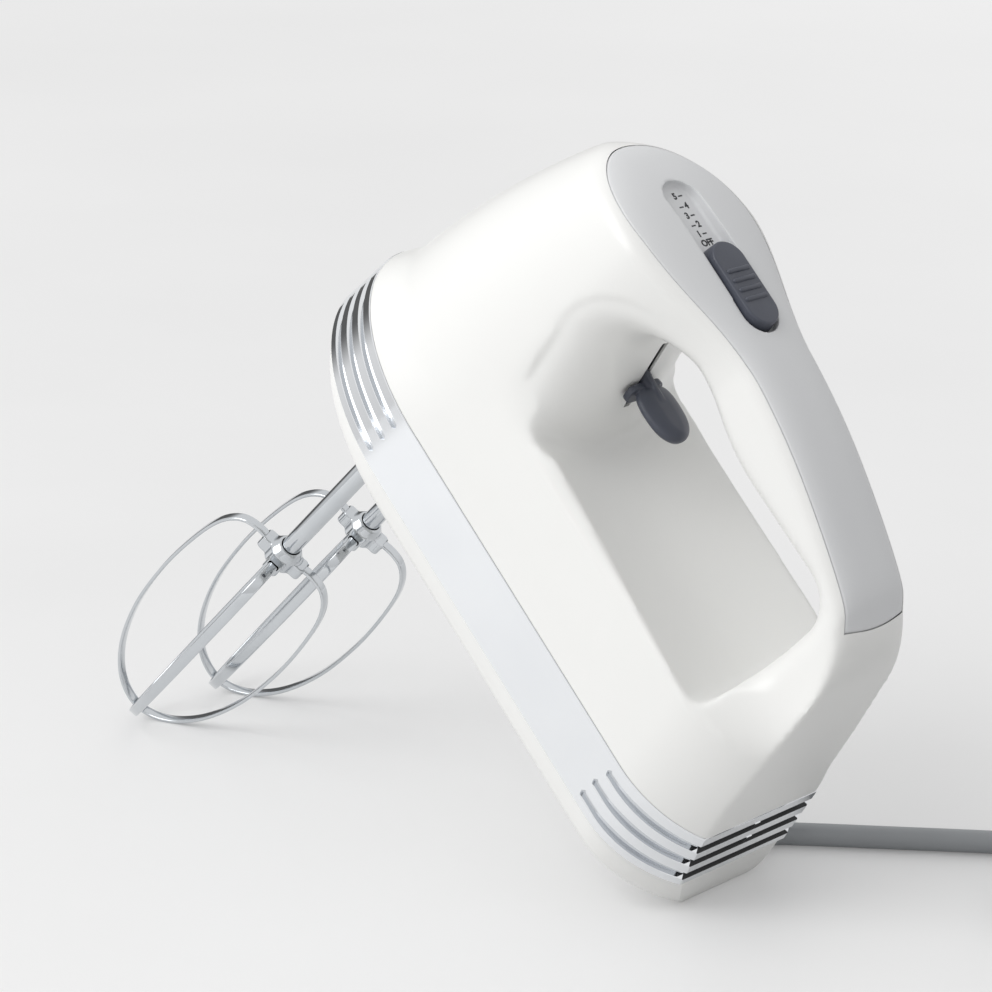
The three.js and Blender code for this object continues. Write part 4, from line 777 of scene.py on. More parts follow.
@dataclass(frozen=True)
class Studio:
    """A pale worktop, soft light and the camera.

    Attributes:
        eye: The camera's place in the mixer's axes, in millimetres.
        right: The camera's right, in the mixer's axes.
        toward: From the mixer to the camera, in the mixer's axes.
        lens_mm: The lens, on a sensor 36 mm wide.
        worktop_m: Half the worktop's width.
        aim: Where the lamps point, in frame metres.
        soft: The strength of the soft light.
        shown: The strength of the room that metal shows.
    """

    eye: Point = (-233.9, 778.3, 733.8)
    right: Point = (-0.514, -0.672, 0.534)
    toward: Point = (-0.243, 0.711, 0.661)
    lens_mm: float = 131.04
    worktop_m: float = 9.0
    aim: Point = (-0.03, 0.0, 0.12)
    soft: float = 0.78
    shown: float = 0.95

    def build(self, axes: MixerAxes) -> None:
        """Set up the camera, the worktop, the lamps and the world.

        Args:
            axes: The mixer's axes in the frame.
        """
        self.camera(axes)
        self.worktop()
        self.lamp("key_softbox", place=(0.35, 1.3, 1.3), width=1.3, watts=15.0)
        self.lamp("nose_softbox", place=(1.5, 0.35, 0.8), width=0.9, watts=3.0, mirrored=False)
        self.world()
        bpy.context.scene.view_settings.view_transform = "Standard"
        log.info("studio: camera, worktop and lamps")

    def camera(self, axes: MixerAxes) -> None:
        """Place the camera where it sees the mixer's left side, its handle and its heel.

        Args:
            axes: The mixer's axes in the frame.
        """
        data = bpy.data.cameras.new("camera")
        data.sensor_width = 36.0
        data.lens = self.lens_mm
        data.clip_end = 100.0
        eye = placed("camera", data)
        back = axes.direction(*self.toward)
        side = axes.direction(*self.right)
        side = (side - back * side.dot(back)).normalized()
        up = back.cross(side)
        turn = Matrix((side, up, back)).transposed().to_4x4()
        eye.matrix_world = Matrix.Translation(axes.point(*self.eye)) @ turn
        bpy.context.scene.camera = eye

    def worktop(self) -> None:
        """Lay the worktop that the mixer stands on."""
        reach = self.worktop_m
        corners = [(-reach, -reach, 0), (reach, -reach, 0), (reach, reach, 0), (-reach, reach, 0)]
        floor = piece_of("worktop", corners, [(0, 1, 2, 3)])
        made = bpy.data.materials.new("worktop_pale_stone_honed")
        made.use_nodes = True
        tree = made.node_tree
        shader = tree.nodes["Principled BSDF"]
        shader.inputs["Roughness"].default_value = 0.45
        shader.inputs["Emission Color"].default_value = linear("#f5f5f5")
        place = add_node(tree, "ShaderNodeTexCoord").outputs["Object"]
        veins = add_node(tree, "ShaderNodeTexNoise", {"Scale": 5.0, "Detail": 4.0}, {"Vector": place})
        tint = add_node(
            tree,
            "ShaderNodeMix",
            {"data_type": "RGBA", 6: linear("#dddddd"), 7: linear("#d5d5d5")},
            {"Factor": veins.outputs["Fac"]},
        )
        far = add_node(tree, "ShaderNodeVectorMath", {"operation": "LENGTH"}, {0: place})
        haze = add_node(
            tree,
            "ShaderNodeMapRange",
            {"From Min": 0.2, "From Max": 2.2, "To Min": 0.18, "To Max": 0.38},
            {"Value": far.outputs["Value"]},
        )
        lift = add_node(
            tree, "ShaderNodeMath", {"operation": "MULTIPLY"}, {0: haze.outputs[0], 1: seen_by_eye(tree)}
        )
        tree.links.new(tint.outputs[2], shader.inputs["Base Color"])
        tree.links.new(lift.outputs[0], shader.inputs["Emission Strength"])
        floor.data.materials.append(made)

    def lamp(self, name: str, place: Point, width: float, watts: float, mirrored: bool = True) -> None:
        """Hang a softbox that faces the mixer.

        Args:
            name: Its name.
            place: Where it hangs, in frame metres.
            width: The width of its square face, in metres.
            watts: Its power.
            mirrored: Whether metal shows it.
        """
        data = bpy.data.lights.new(name, "AREA")
        data.size = width
        data.energy = watts
        lamp = placed(name, data)
        lamp.location = place
        lamp.visible_glossy = mirrored
        lamp.rotation_euler = (Vector(place) - Vector(self.aim)).to_track_quat("Z", "Y").to_euler()

    def world(self) -> None:
        """Surround the mixer with soft light, brightest from above, and with a room for metal to show."""
        world = bpy.data.worlds.new("surround")
        bpy.context.scene.world = world
        world.use_nodes = True
        tree = world.node_tree
        tree.nodes.clear()
        way = add_node(tree, "ShaderNodeTexCoord").outputs["Generated"]
        sky = self.toned(tree, way, (0.35, 0.25, 0.9), (-0.6, 0.7), ("#939393", "#f9f9f9"))
        room = self.toned(tree, way, (0.0, 0.0, 1.0), (-0.1, 0.5), ("#e8e8e8", "#ffffff"))
        flag = self.toned(tree, way, (0.93, -0.35, 0.0), (0.7, 0.93), ("#ffffff", "#6c6c6c"))
        both = add_node(
            tree, "ShaderNodeMix", {"data_type": "RGBA", "blend_type": "MULTIPLY", 0: 1.0}, {6: room, 7: flag}
        )
        soft = add_node(tree, "ShaderNodeBackground", {"Strength": self.soft}, {"Color": sky})
        shown = add_node(tree, "ShaderNodeBackground", {"Strength": self.shown}, {"Color": both.outputs[2]})
        mixed = add_node(
            tree, "ShaderNodeMixShader", links={0: seen_by_eye(tree), 1: soft.outputs[0], 2: shown.outputs[0]}
        )
        add_node(tree, "ShaderNodeOutputWorld", links={"Surface": mixed.outputs[0]})

    def toned(
        self,
        tree: bpy.types.NodeTree,
        way: bpy.types.NodeSocket,
        toward: Point,
        limits: Flat,
        colours: tuple[str, str],
    ) -> bpy.types.NodeSocket:
        """Return a colour that turns into another towards one side of the world.

        Args:
            tree: The world's node tree.
            way: The direction that is looked at.
            toward: The side at which the second colour shows.
            limits: The cosines between which the colours change.
            colours: The two sRGB colours.

        Returns:
            The colour in each direction.
        """
        side = tuple(Vector(toward).normalized())
        along = add_node(tree, "ShaderNodeVectorMath", {"operation": "DOT_PRODUCT", 1: side}, {0: way})
        share = add_node(
            tree,
            "ShaderNodeMapRange",
            {"From Min": limits[0], "From Max": limits[1], "interpolation_type": "SMOOTHSTEP"},
            {"Value": along.outputs["Value"]},
        )
        first, second = linear(colours[0]), linear(colours[1])
        return add_node(
            tree,
            "ShaderNodeMix",
            {"data_type": "RGBA", 6: first, 7: second},
            {"Factor": share.outputs["Result"]},
        ).outputs[2]


# ---------------------------------------------------------------- mains lead
@dataclass(frozen=True)
class MainsLead:
    """The grey lead: along the worktop to a tied coil, and on to its plug. Points are frame metres.

    Attributes:
        diameter: The lead's thickness.
        route: From the strain relief to the coil.
        tail: From the coil to the plug.
        coil_middle: The coil's centre.
        outer: The middle line of its outer ring.
        pitch: From ring to ring.
        layers: The heights of its two layers, and of the lead where it crosses them.
        meets: Where the lead joins the outer ring, in degrees.
        winds: How far it winds, clockwise from above, in degrees.
        moves_in: Where it moves in to the next ring.
        moves_out: Where it moves out again.
        climbs: Where it climbs to the next layer.
        shift: The degrees it winds while it changes rings, or climbs to the top layer.
        long_climb: The degrees it winds while it climbs to the middle layer.
        step: The degrees from one point of the coil to the next.
    """

    diameter: float = 0.007
    route: tuple[Point, ...] = (
        (-0.0703, -0.0221, 0.0088), (-0.0716, -0.024, 0.0075), (-0.0755, -0.0296, 0.0047),
        (-0.0797, -0.0353, 0.0038), (-0.0842, -0.0403, 0.0037), (-0.09, -0.045, 0.0037),
        (-0.1095, -0.0596, 0.0037), (-0.1315, -0.076, 0.0037), (-0.1456, -0.086, 0.0037),
        (-0.1586, -0.0953, 0.0037),
    )
    tail: tuple[Point, ...] = (
        (-0.1958, -0.1181, 0.0179), (-0.204, -0.1195, 0.0179), (-0.213, -0.1197, 0.0181),
        (-0.2249, -0.1173, 0.0189), (-0.2349, -0.1106, 0.0206), (-0.2414, -0.1015, 0.0226),
        (-0.2438, -0.0935, 0.0234), (-0.244, -0.0887, 0.0235),
    )
    coil_middle: Flat = (-0.208, -0.0727)
    outer: float = 0.047
    pitch: float = 0.007
    layers: Point = (0.0037, 0.0108, 0.0179)
    meets: float = -54.5
    winds: float = 1820.5
    moves_in: Flat = (300.0, 660.0)
    moves_out: Flat = (1232.0, 1592.0)
    climbs: Flat = (932.0, 1740.0)
    shift: float = 60.0
    long_climb: float = 87.0
    step: float = 15.0

    def coil(self) -> list[Point]:
        """Wind the coil: three rings inward, up a layer, and three rings outward.

        Returns:
            The points of its middle line.
        """
        points = []
        for wound in np.linspace(0, self.winds, round(self.winds / self.step), endpoint=False):
            inward = sum(smooth((wound - start) / self.shift) for start in self.moves_in)
            outward = sum(smooth((wound - start) / self.shift) for start in self.moves_out)
            radius = self.outer - self.pitch * (inward - outward)
            low, middle, high = self.layers
            z = lerp(low, middle, smooth((wound - self.climbs[0]) / self.long_climb))
            z = lerp(z, high, smooth((wound - self.climbs[1]) / self.shift))
            turn = math.radians(self.meets - wound)
            x, y = self.coil_middle
            points.append((x + radius * math.cos(turn), y + radius * math.sin(turn), z))
        return points

    def points(self) -> list[Point]:
        """Return the whole lead's points in order."""
        return [*self.route, *self.coil(), *self.tail]

    def length(self, line: bpy.types.Object) -> float:
        """Return the lead's length along its curve, in metres."""
        return line.data.splines[0].calc_length()

    def build(self) -> bpy.types.Object:
        """Lay the lead, its tie and its plug.

        Returns:
            The lead.
        """
        data = bpy.data.curves.new("mains_lead_run", "CURVE")
        data.dimensions = "3D"
        data.bevel_depth = self.diameter / 2
        data.bevel_resolution = 6
        data.resolution_u = 8
        spline = data.splines.new("BEZIER")
        points = self.points()
        spline.bezier_points.add(len(points) - 1)
        for handle, point in zip(spline.bezier_points, points):
            handle.co = point
            handle.handle_left_type = handle.handle_right_type = "AUTO"
        lead = placed("mains_lead_run", data)
        CORD_VINYL.dress(lead, "cord_vinyl")
        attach(lead, "housing")
        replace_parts(lead, "mains_lead", "lead_coil", "plug_lead")
        tie = self.tie()
        plug = self.plug()
        return lead

    def tie(self) -> bpy.types.Object:
        """Make the tie, a flat loop round the bundle of turns.

        Returns:
            The tie.
        """
        inner, outer = (self.outer - 2 * self.pitch) / MM, self.outer / MM
        reach, top = self.diameter / MM / 2, self.layers[1] / MM + self.diameter / MM / 2
        loops = []
        for grow, low in ((0.95, 0.02), (0.15, 0.17)):
            left, right, high = inner - reach - grow, outer + reach + grow, top + grow
            corners = [(left, low), (right, low), (right, high), (left, high)]
            loops.append(rounded([(*corner, 2.6) for corner in corners], 6))
        tie = side_prism("lead_tie", loops[0], -2.2, 2.2)
        combine(tie, Join.CUT, side_prism("tie_hole", loops[1], -3, 3))
        twist = [(0, -5), (1.1, -4.6), (1.4, -2), (1.2, 0), (1.4, 2), (1.1, 4.6), (0, 5)]
        knot = turned("tie_knot", twist, 16)
        combine(tie, Join.ADD, moved(turned_by(knot, 78, "X"), inner + 7, 0, top + 2.0))
        turned_by(tie, 75, "Z")
        tie.data.transform(Matrix.Translation((*self.coil_middle, 0)) @ Matrix.Scale(MM, 4))
        shade(tie)
        TIE_VINYL.dress(tie, "black_nylon")
        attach(tie, "housing")
        return tie

    def plug(self) -> bpy.types.Object:
        """Make the moulded plug: a ribbed neck that swells into a flat grip.

        Returns:
            The plug.
        """
        x, y, z = (v / MM for v in self.tail[-1])
        stops = [
            (0, 4.6, 4.6), (3, 5.0, 5.0), (9, 5.8, 5.6), (13, 8.2, 7.0), (17, 10.8, 8.2), (21, 11.9, 8.8),
            (32, 11.9, 8.8),
        ]
        rings = []
        for at, half, tall in through(stops, 8):
            ripple = 0.45 * max(0.0, math.sin((at - 1.5) * 2 * math.pi / 2.6)) if 1.5 < at < 9.3 else 0.0
            edge = 0.8 * max(0.0, (at - 31) / 1)
            width, height = half - ripple - edge, tall - ripple - edge
            radius = min(width, height) * lerp(0.98, 0.42, smooth((at - 8) / 10))
            corners = [(width, -height), (width, height), (-width, height), (-width, -height)]
            outline = rounded([(*corner, radius) for corner in corners], 8)
            along = np.full(len(outline), y + 0.3 + at)
            rings.append(np.column_stack([x + outline[:, 0], along, z + outline[:, 1]]))
        plug = stacked("plug_moulding", rings)
        for side in (-1, 1):
            at = x + side * 6.35
            seat = brick("seat", (at - 1.05, at + 1.05), (y + 26, y + 40), (z - 3.5, z + 3.5))
            combine(plug, Join.CUT, seat)
        for side in (-1, 1):
            for k in range(3):
                groove = prism("grip", capsule(-6, 6, 0.7, 8), -0.8, 0.8)
                combine(plug, Join.CUT, moved(groove, x, y + 22.5 + 2.6 * k, z + side * 9.2))
        plug.data.transform(Matrix.Scale(MM, 4))
        shade(plug)
        CORD_VINYL.dress(plug, "cord_vinyl")
        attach(plug, "housing")
        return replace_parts(plug, "plug_body")


# ---------------------------------------------------------------- the form of the shell
@dataclass(frozen=True)
class ShellForm:
    """The outer form that the housing, cover, band and base share, in mixer millimetres.

    Attributes:
        base_top: Height at which the base meets the band.
        seam: Height at which the band meets the housing.
        crease: Height at which the skirt turns into the side wall.
        side_half: Half width at the seam.
        skirt_lean: How far the skirt leans in for each millimetre up.
        wall_lean: How far the wall above it leans in.
        wall_ease: How the wall's lean changes with height.
        band_lean: How far the band and base spread for each millimetre down.
        crease_soft: The softness of the crease.
        rear_at: The rear face's place at the seam.
        rear_rake: How far the rear face leans forward above the seam.
        rear_bow: How that lean grows with height.
        rear_skirt: How far the rear face is drawn in between seam and crease.
        rear_rake_low: How far it leans below the seam.
        rear_flat: Half the rear face's flat width at the seam.
        rear_taper: How that narrows above the seam.
        rear_taper_low: How it narrows below the seam.
        corner_reach: How far the rear corners reach along the mixer.
        corner_radius: Their radius.
        nose_at: The nose's tip at the seam.
        nose_spread: How far the nose spreads below the seam.
        nose_skirt: How much further its skirt stands out at the seam than at the crease.
        nose_lean: How far it leans back above the crease.
        nose_bow: How that lean grows with height.
        nose_length: The length of the nose's round at the seam.
        nose_shortens: How that shortens with height.
        handle_half: Half the handle's width.
        waist_x: The places between which the handle's width gives way to the body's.
        waist_z: The heights between which the body draws in to it.
        crown: The height of the rounded top edge.
        crown_power: How square that edge is; 2 is round.
        top_line: Side view of the top, heel to nose.
        opening: The finger opening at mid width: x, z and radius of each corner.
        front_flare: How far the opening flares at its front wall.
        handle_flare: The same under the handle.
        post_flare: The same at the rear post.
        saddle_dish: How far the saddle's sides rise above its middle.
        lift_fades: How far above the saddle that rise ends.
        saddle_half: How far in from each side the saddle rises.
    """

    base_top: float = 13.0
    seam: float = 33.0
    crease: float = 46.0
    side_half: float = 40.2
    skirt_lean: float = 0.28
    wall_lean: float = 0.13
    wall_ease: float = 0.0004
    band_lean: float = 0.14
    crease_soft: float = 1.4
    rear_at: float = -95.0
    rear_rake: float = 0.17
    rear_bow: float = 0.0004
    rear_skirt: float = 1.0
    rear_rake_low: float = 0.265
    rear_flat: float = 26.3
    rear_taper: float = 0.135
    rear_taper_low: float = 0.1
    corner_reach: float = 29.5
    corner_radius: float = 42.0
    nose_at: float = 108.5
    nose_spread: float = 0.075
    nose_skirt: float = 5.5
    nose_lean: float = 0.11
    nose_bow: float = 0.0018
    nose_length: float = 57.5
    nose_shortens: float = 0.2
    handle_half: float = 15.8
    waist_x: Flat = (0.0, 48.0)
    waist_z: Flat = (63.0, 90.0)
    crown: float = 9.0
    crown_power: float = 3.2
    top_line: tuple[Flat, ...] = (
        (-83.9, 86), (-82.4, 92.3), (-80.1, 98.2), (-76.7, 103.8), (-71.8, 109.2), (-63, 115.8), (-30, 126.6),
        (-2, 131.8), (28, 133.4), (54, 133.0), (70, 130.0), (80, 125.0), (88.5, 116.5),
    )
    opening: tuple[Point, ...] = (
        (20.3, 58, 5), (33.5, 120.5, 14), (-14, 105.6, 60), (-64.5, 106.3, 12), (-66, 53, 8),
    )
    front_flare: float = 17.0
    handle_flare: float = 8.0
    post_flare: float = 7.0
    saddle_dish: float = 10.5
    lift_fades: float = 25.0
    saddle_half: float = 34.0

    def rear_x(self, z: float) -> float:
        """Find where the raked rear face stands.

        Args:
            z: The height.

        Returns:
            Its place along the mixer.
        """
        h = z - self.seam
        if h < 0:
            return self.rear_at + self.rear_rake_low * h
        drawn_in = self.rear_skirt * smooth(h / (self.crease - self.seam))
        return self.rear_at + self.rear_rake * h + self.rear_bow * h * h + drawn_in

    def rear_half(self, z: float) -> float:
        """Return half the width of the flat rear face."""
        taper = -self.rear_taper_low if z < self.seam else self.rear_taper
        return self.rear_flat - taper * (z - self.seam)

    def wall_half(self, z: float) -> float:
        """Lean the straight sides: two lines with a soft crease between them.

        Args:
            z: The height.

        Returns:
            Half the width between the sides.
        """
        if z < self.seam:
            return self.side_half + self.band_lean * (self.seam - z)
        h = z - self.crease
        upper = self.side_half - self.skirt_lean * (self.crease - self.seam)
        upper += self.wall_ease * h * abs(h) - self.wall_lean * h
        rise = (self.wall_lean - self.skirt_lean) * h
        soft = (self.skirt_lean - self.wall_lean) * self.crease_soft
        return upper + (rise + math.hypot(rise, soft)) / 2

    def nose_x(self, z: float) -> float:
        """Find where the nose's tip stands.

        Args:
            z: The height.

        Returns:
            Its place along the mixer.
        """
        if z < self.seam:
            return self.nose_at + self.nose_spread * (self.seam - z)
        h = max(0.0, z - self.crease)
        share = 1 - clamp01((z - self.seam) / (self.crease - self.seam))
        skirt = self.nose_skirt * share**1.3
        return self.nose_at - self.nose_skirt + skirt - self.nose_lean * h - self.nose_bow * h * h

    def side_half_at(self, x: float, z: float) -> float:
        """Draw the body in to the handle's width round the opening.

        Args:
            x: The place along the mixer.
            z: The height.

        Returns:
            Half the body's width there.
        """
        wide = self.wall_half(z)
        along = smooth((self.waist_x[1] - x) / (self.waist_x[1] - self.waist_x[0]))
        up = 1 - (1 - clamp01((z - self.waist_z[0]) / (self.waist_z[1] - self.waist_z[0]))) ** 2
        return wide - (wide - self.handle_half) * along * up

    def half(self, x: float, z: float, inset: float = 0.0, rear_inset: float | None = None) -> float:
        """Return half the width of the level slice at a height.

        Args:
            x: The place along the slice.
            z: The slice's height.
            inset: How far the sides and nose are set in.
            rear_inset: How far the rear face is set in, when it differs.

        Returns:
            Half the width there.
        """
        rear_inset = inset if rear_inset is None else rear_inset
        half = self.side_half_at(x, z) - inset
        length = self.nose_length - self.nose_shortens * (z - self.seam)
        into = (x - (self.nose_x(z) - inset - length)) / length
        if into > 0:
            half *= math.sqrt(max(0.0, 1 - into * into))
        back = 1 - (x - self.rear_x(z) - rear_inset) / self.corner_reach
        if back > 0:
            sweep = self.corner_reach / self.corner_radius
            drop = 1 - math.sqrt(1 - (min(1.0, back) * sweep) ** 2)
            whole = 1 - math.sqrt(1 - sweep**2)
            half -= (half - (self.rear_half(z) - inset)) * drop / whole
        return half

    def top_z(self) -> Callable[[float], float]:
        """Return a function that gives the height of the top at a place along the mixer."""
        line = through(self.top_line, 24)
        return lambda x: float(np.interp(x, line[:, 0], line[:, 1]))

    def body(
        self, name: str, z0: float, inset: float = 0.0, top_inset: float = 0.0, stations: int = 110
    ) -> bpy.types.Object:
        """Close the housing's outer form.

        Args:
            name: The body's name.
            z0: Its lowest level.
            inset: How far its sides are set in.
            top_inset: How far its top is set down.
            stations: How many cross-sections it takes.

        Returns:
            The body.
        """
        top_z = self.top_z()
        rings = []
        for i in range(stations + 1):
            share = (1 - math.cos(i / stations * math.pi)) / 2
            rings.append(self.section(share, z0, inset, top_inset, top_z))
        return lofted(name, rings)

    def section(
        self, share: float, z0: float, inset: float, top_inset: float, top_z: Callable[[float], float]
    ) -> np.ndarray:
        """Draw one cross-section, from its lower left over the top to its lower right.

        Args:
            share: Its place between the heel and the nose.
            z0: Its lowest level.
            inset: How far its sides are set in.
            top_inset: How far its top is set down.
            top_z: The height of the top along the mixer.

        Returns:
            The section's points.
        """

        def place(z: float) -> float:
            """Return where the section stands at a height."""
            return lerp(self.rear_x(z) + inset, self.nose_x(z) - inset, share)

        halvings = 30
        low, high = self.top_line[0][1] - 20, max(z for _, z in self.top_line) + 7
        for _ in range(halvings):
            middle = (low + high) / 2
            if top_z(place(middle)) - top_inset > middle:
                low = middle
            else:
                high = middle
        shoulder = low - self.crown
        levels = [
            *np.linspace(z0, self.crease - 4, 8, endpoint=False),
            *np.linspace(self.crease - 4, self.crease + 4, 9),
            *np.linspace(self.crease + 4, shoulder, 26)[1:-1],
        ]
        side = [(place(z), self.half(place(z), z, inset), z) for z in levels]
        widest = self.half(place(shoulder), shoulder, inset)
        steps = 14
        for i in range(steps):
            angle = i / steps * math.pi / 2
            z = shoulder + self.crown * math.sin(angle) ** (2 / self.crown_power)
            local = min(widest, self.half(place(z), z, inset))
            side.append((place(z), local * math.cos(angle) ** (2 / self.crown_power), z))
        top = shoulder + self.crown
        other = [(x, -y, z) for x, y, z in reversed(side)]
        return np.array([*side, (place(top), 0.0, top), *other])

    def finger_opening(self, name: str, grow: float, around: int = 220, deep: int = 26) -> bpy.types.Object:
        """Close the body that the finger opening takes out.

        Args:
            name: The body's name.
            grow: How far it is grown outward.
            around: How many points its outline takes.
            deep: How many steps it takes from mid width to the side.

        Returns:
            The body, flared towards each side.
        """
        corners = rounded(self.opening, 24)
        outline = evenly(np.vstack([corners, corners[:1]]), around + 1)[:-1]
        ahead, behind = np.roll(outline, -1, axis=0), np.roll(outline, 1, axis=0)
        normal = np.stack([(ahead - behind)[:, 1], (behind - ahead)[:, 0]], axis=1)
        normal /= np.linalg.norm(normal, axis=1)[:, None]
        front, rear = np.maximum(0, normal[:, 0]) ** 2, np.maximum(0, -normal[:, 0]) ** 2
        up, down = np.maximum(0, normal[:, 1]) ** 2, np.maximum(0, -normal[:, 1]) ** 2
        flare = self.front_flare * front + self.post_flare * rear + self.handle_flare * up
        (front_x, front_z, _), (rear_x, rear_z, _) = self.opening[0], self.opening[-1]
        above = outline[:, 1] - np.interp(outline[:, 0], (rear_x, front_x), (rear_z, front_z))
        lift = np.array([self.saddle_dish * (1 - smooth(rise / self.lift_fades)) for rise in above])
        wide = outline + normal * 0.7 * flare[:, None]
        half = np.array([self.half(x, z) for x, z in wide])
        depth = half * front + self.post_flare * rear + self.handle_flare * up + self.saddle_half * down
        depth = np.minimum(depth, half)

        def ring(share: float, beyond: float) -> np.ndarray:
            """Draw the opening's outline at a distance from mid width.

            Args:
                share: The distance as a share of the body's width there.
                beyond: How far past the body's side it lies.

            Returns:
                The outline's points.
            """
            y = half * share
            into = np.clip((y - (half - depth)) / depth, 0, 1)
            out = grow + flare * (1 - np.sqrt(1 - into * into)) + (0.6 if beyond else 0)
            q = outline + normal * out[:, None]
            aside = np.clip((y - (half - self.saddle_half)) / self.saddle_half, 0, 1)
            return np.column_stack([q[:, 0], y + beyond, q[:, 1] + lift * aside**1.7])

        left = [ring(math.sin(i / deep * math.pi / 2), 0) for i in range(deep + 1)] + [ring(1, 12)]
        right = [r * np.array([1, -1, 1]) for r in left[1:]]
        return stacked(name, [*reversed(left), *right])

    def plan(
        self, z: float, inset: float = 0.0, rear_inset: float | None = None, steps: int = 90
    ) -> np.ndarray:
        """Draw the plan outline of the shell, from the nose round to the left.

        Args:
            z: The height.
            inset: How far the sides and nose are set in.
            rear_inset: How far the rear face is set in, when it differs.
            steps: How many stretches each side takes.

        Returns:
            The outline's points.
        """
        rear = inset if rear_inset is None else rear_inset
        tip, heel = self.nose_x(z) - inset, self.rear_x(z) + rear
        left = []
        for i in range(steps + 1):
            x = lerp(tip, heel, (1 - math.cos(i / steps * math.pi)) / 2)
            left.append((x, 0.0 if i == 0 else self.half(x, z, inset, rear), z))
        right = [(x, -y, height) for x, y, height in reversed(left[1:])]
        return np.array([*left, *right])


@dataclass(frozen=True)
class CoverOutline:
    """The plan of the handle's cover: a spoon, square at the heel and round at the nose.

    Attributes:
        heel: The ends of its heel edge.
        tip: Its round tip.
        narrow: Half its width on the handle.
        wide: Half its greatest width.
        start: Where it begins to widen.
        broad: Where it is widest.
        heel_bow: How far that edge bows out between them.
    """

    heel: float = -72.5
    tip: float = 79.5
    narrow: float = 13.3
    wide: float = 24.0
    start: float = -5.0
    broad: float = 50.0
    heel_bow: float = 1.6

    def points(self, grow: float) -> np.ndarray:
        """Draw the outline, anticlockwise from the heel's right corner.

        Args:
            grow: How far it is grown outward.

        Returns:
            The outline's points.
        """
        narrow, wide = self.narrow + grow, self.wide + grow
        right = [(self.heel - grow, -narrow)]
        right += [tuple(p) for p in self.bend(narrow, wide)]
        turns = np.linspace(-math.pi / 2, math.pi / 2, 41)[1:-1]
        bow = [(self.broad + (self.tip + grow - self.broad) * math.cos(a), wide * math.sin(a)) for a in turns]
        left = [(x, -y) for x, y in reversed(right)]
        across = np.linspace(1, -1, 13)[1:-1]
        seam = [(self.heel - grow - self.heel_bow * (1 - s * s), narrow * s) for s in across]
        return np.array([*right, *bow, *left, *seam])

    def bend(self, narrow: float, wide: float) -> np.ndarray:
        """Bend the side in an S from the handle's width to the cover's widest place.

        Args:
            narrow: Half the width at the handle.
            wide: Half the greatest width.

        Returns:
            The right side's points.
        """
        corners = np.array([
            (self.start, -narrow), (self.start + 23, -narrow), (self.broad - 22, -wide), (self.broad, -wide),
        ])
        share = np.linspace(0, 1, 31)[:, None]
        weights = [(1 - share) ** 3, 3 * share * (1 - share) ** 2, 3 * share**2 * (1 - share), share**3]
        return sum(w * corner for w, corner in zip(weights, corners))


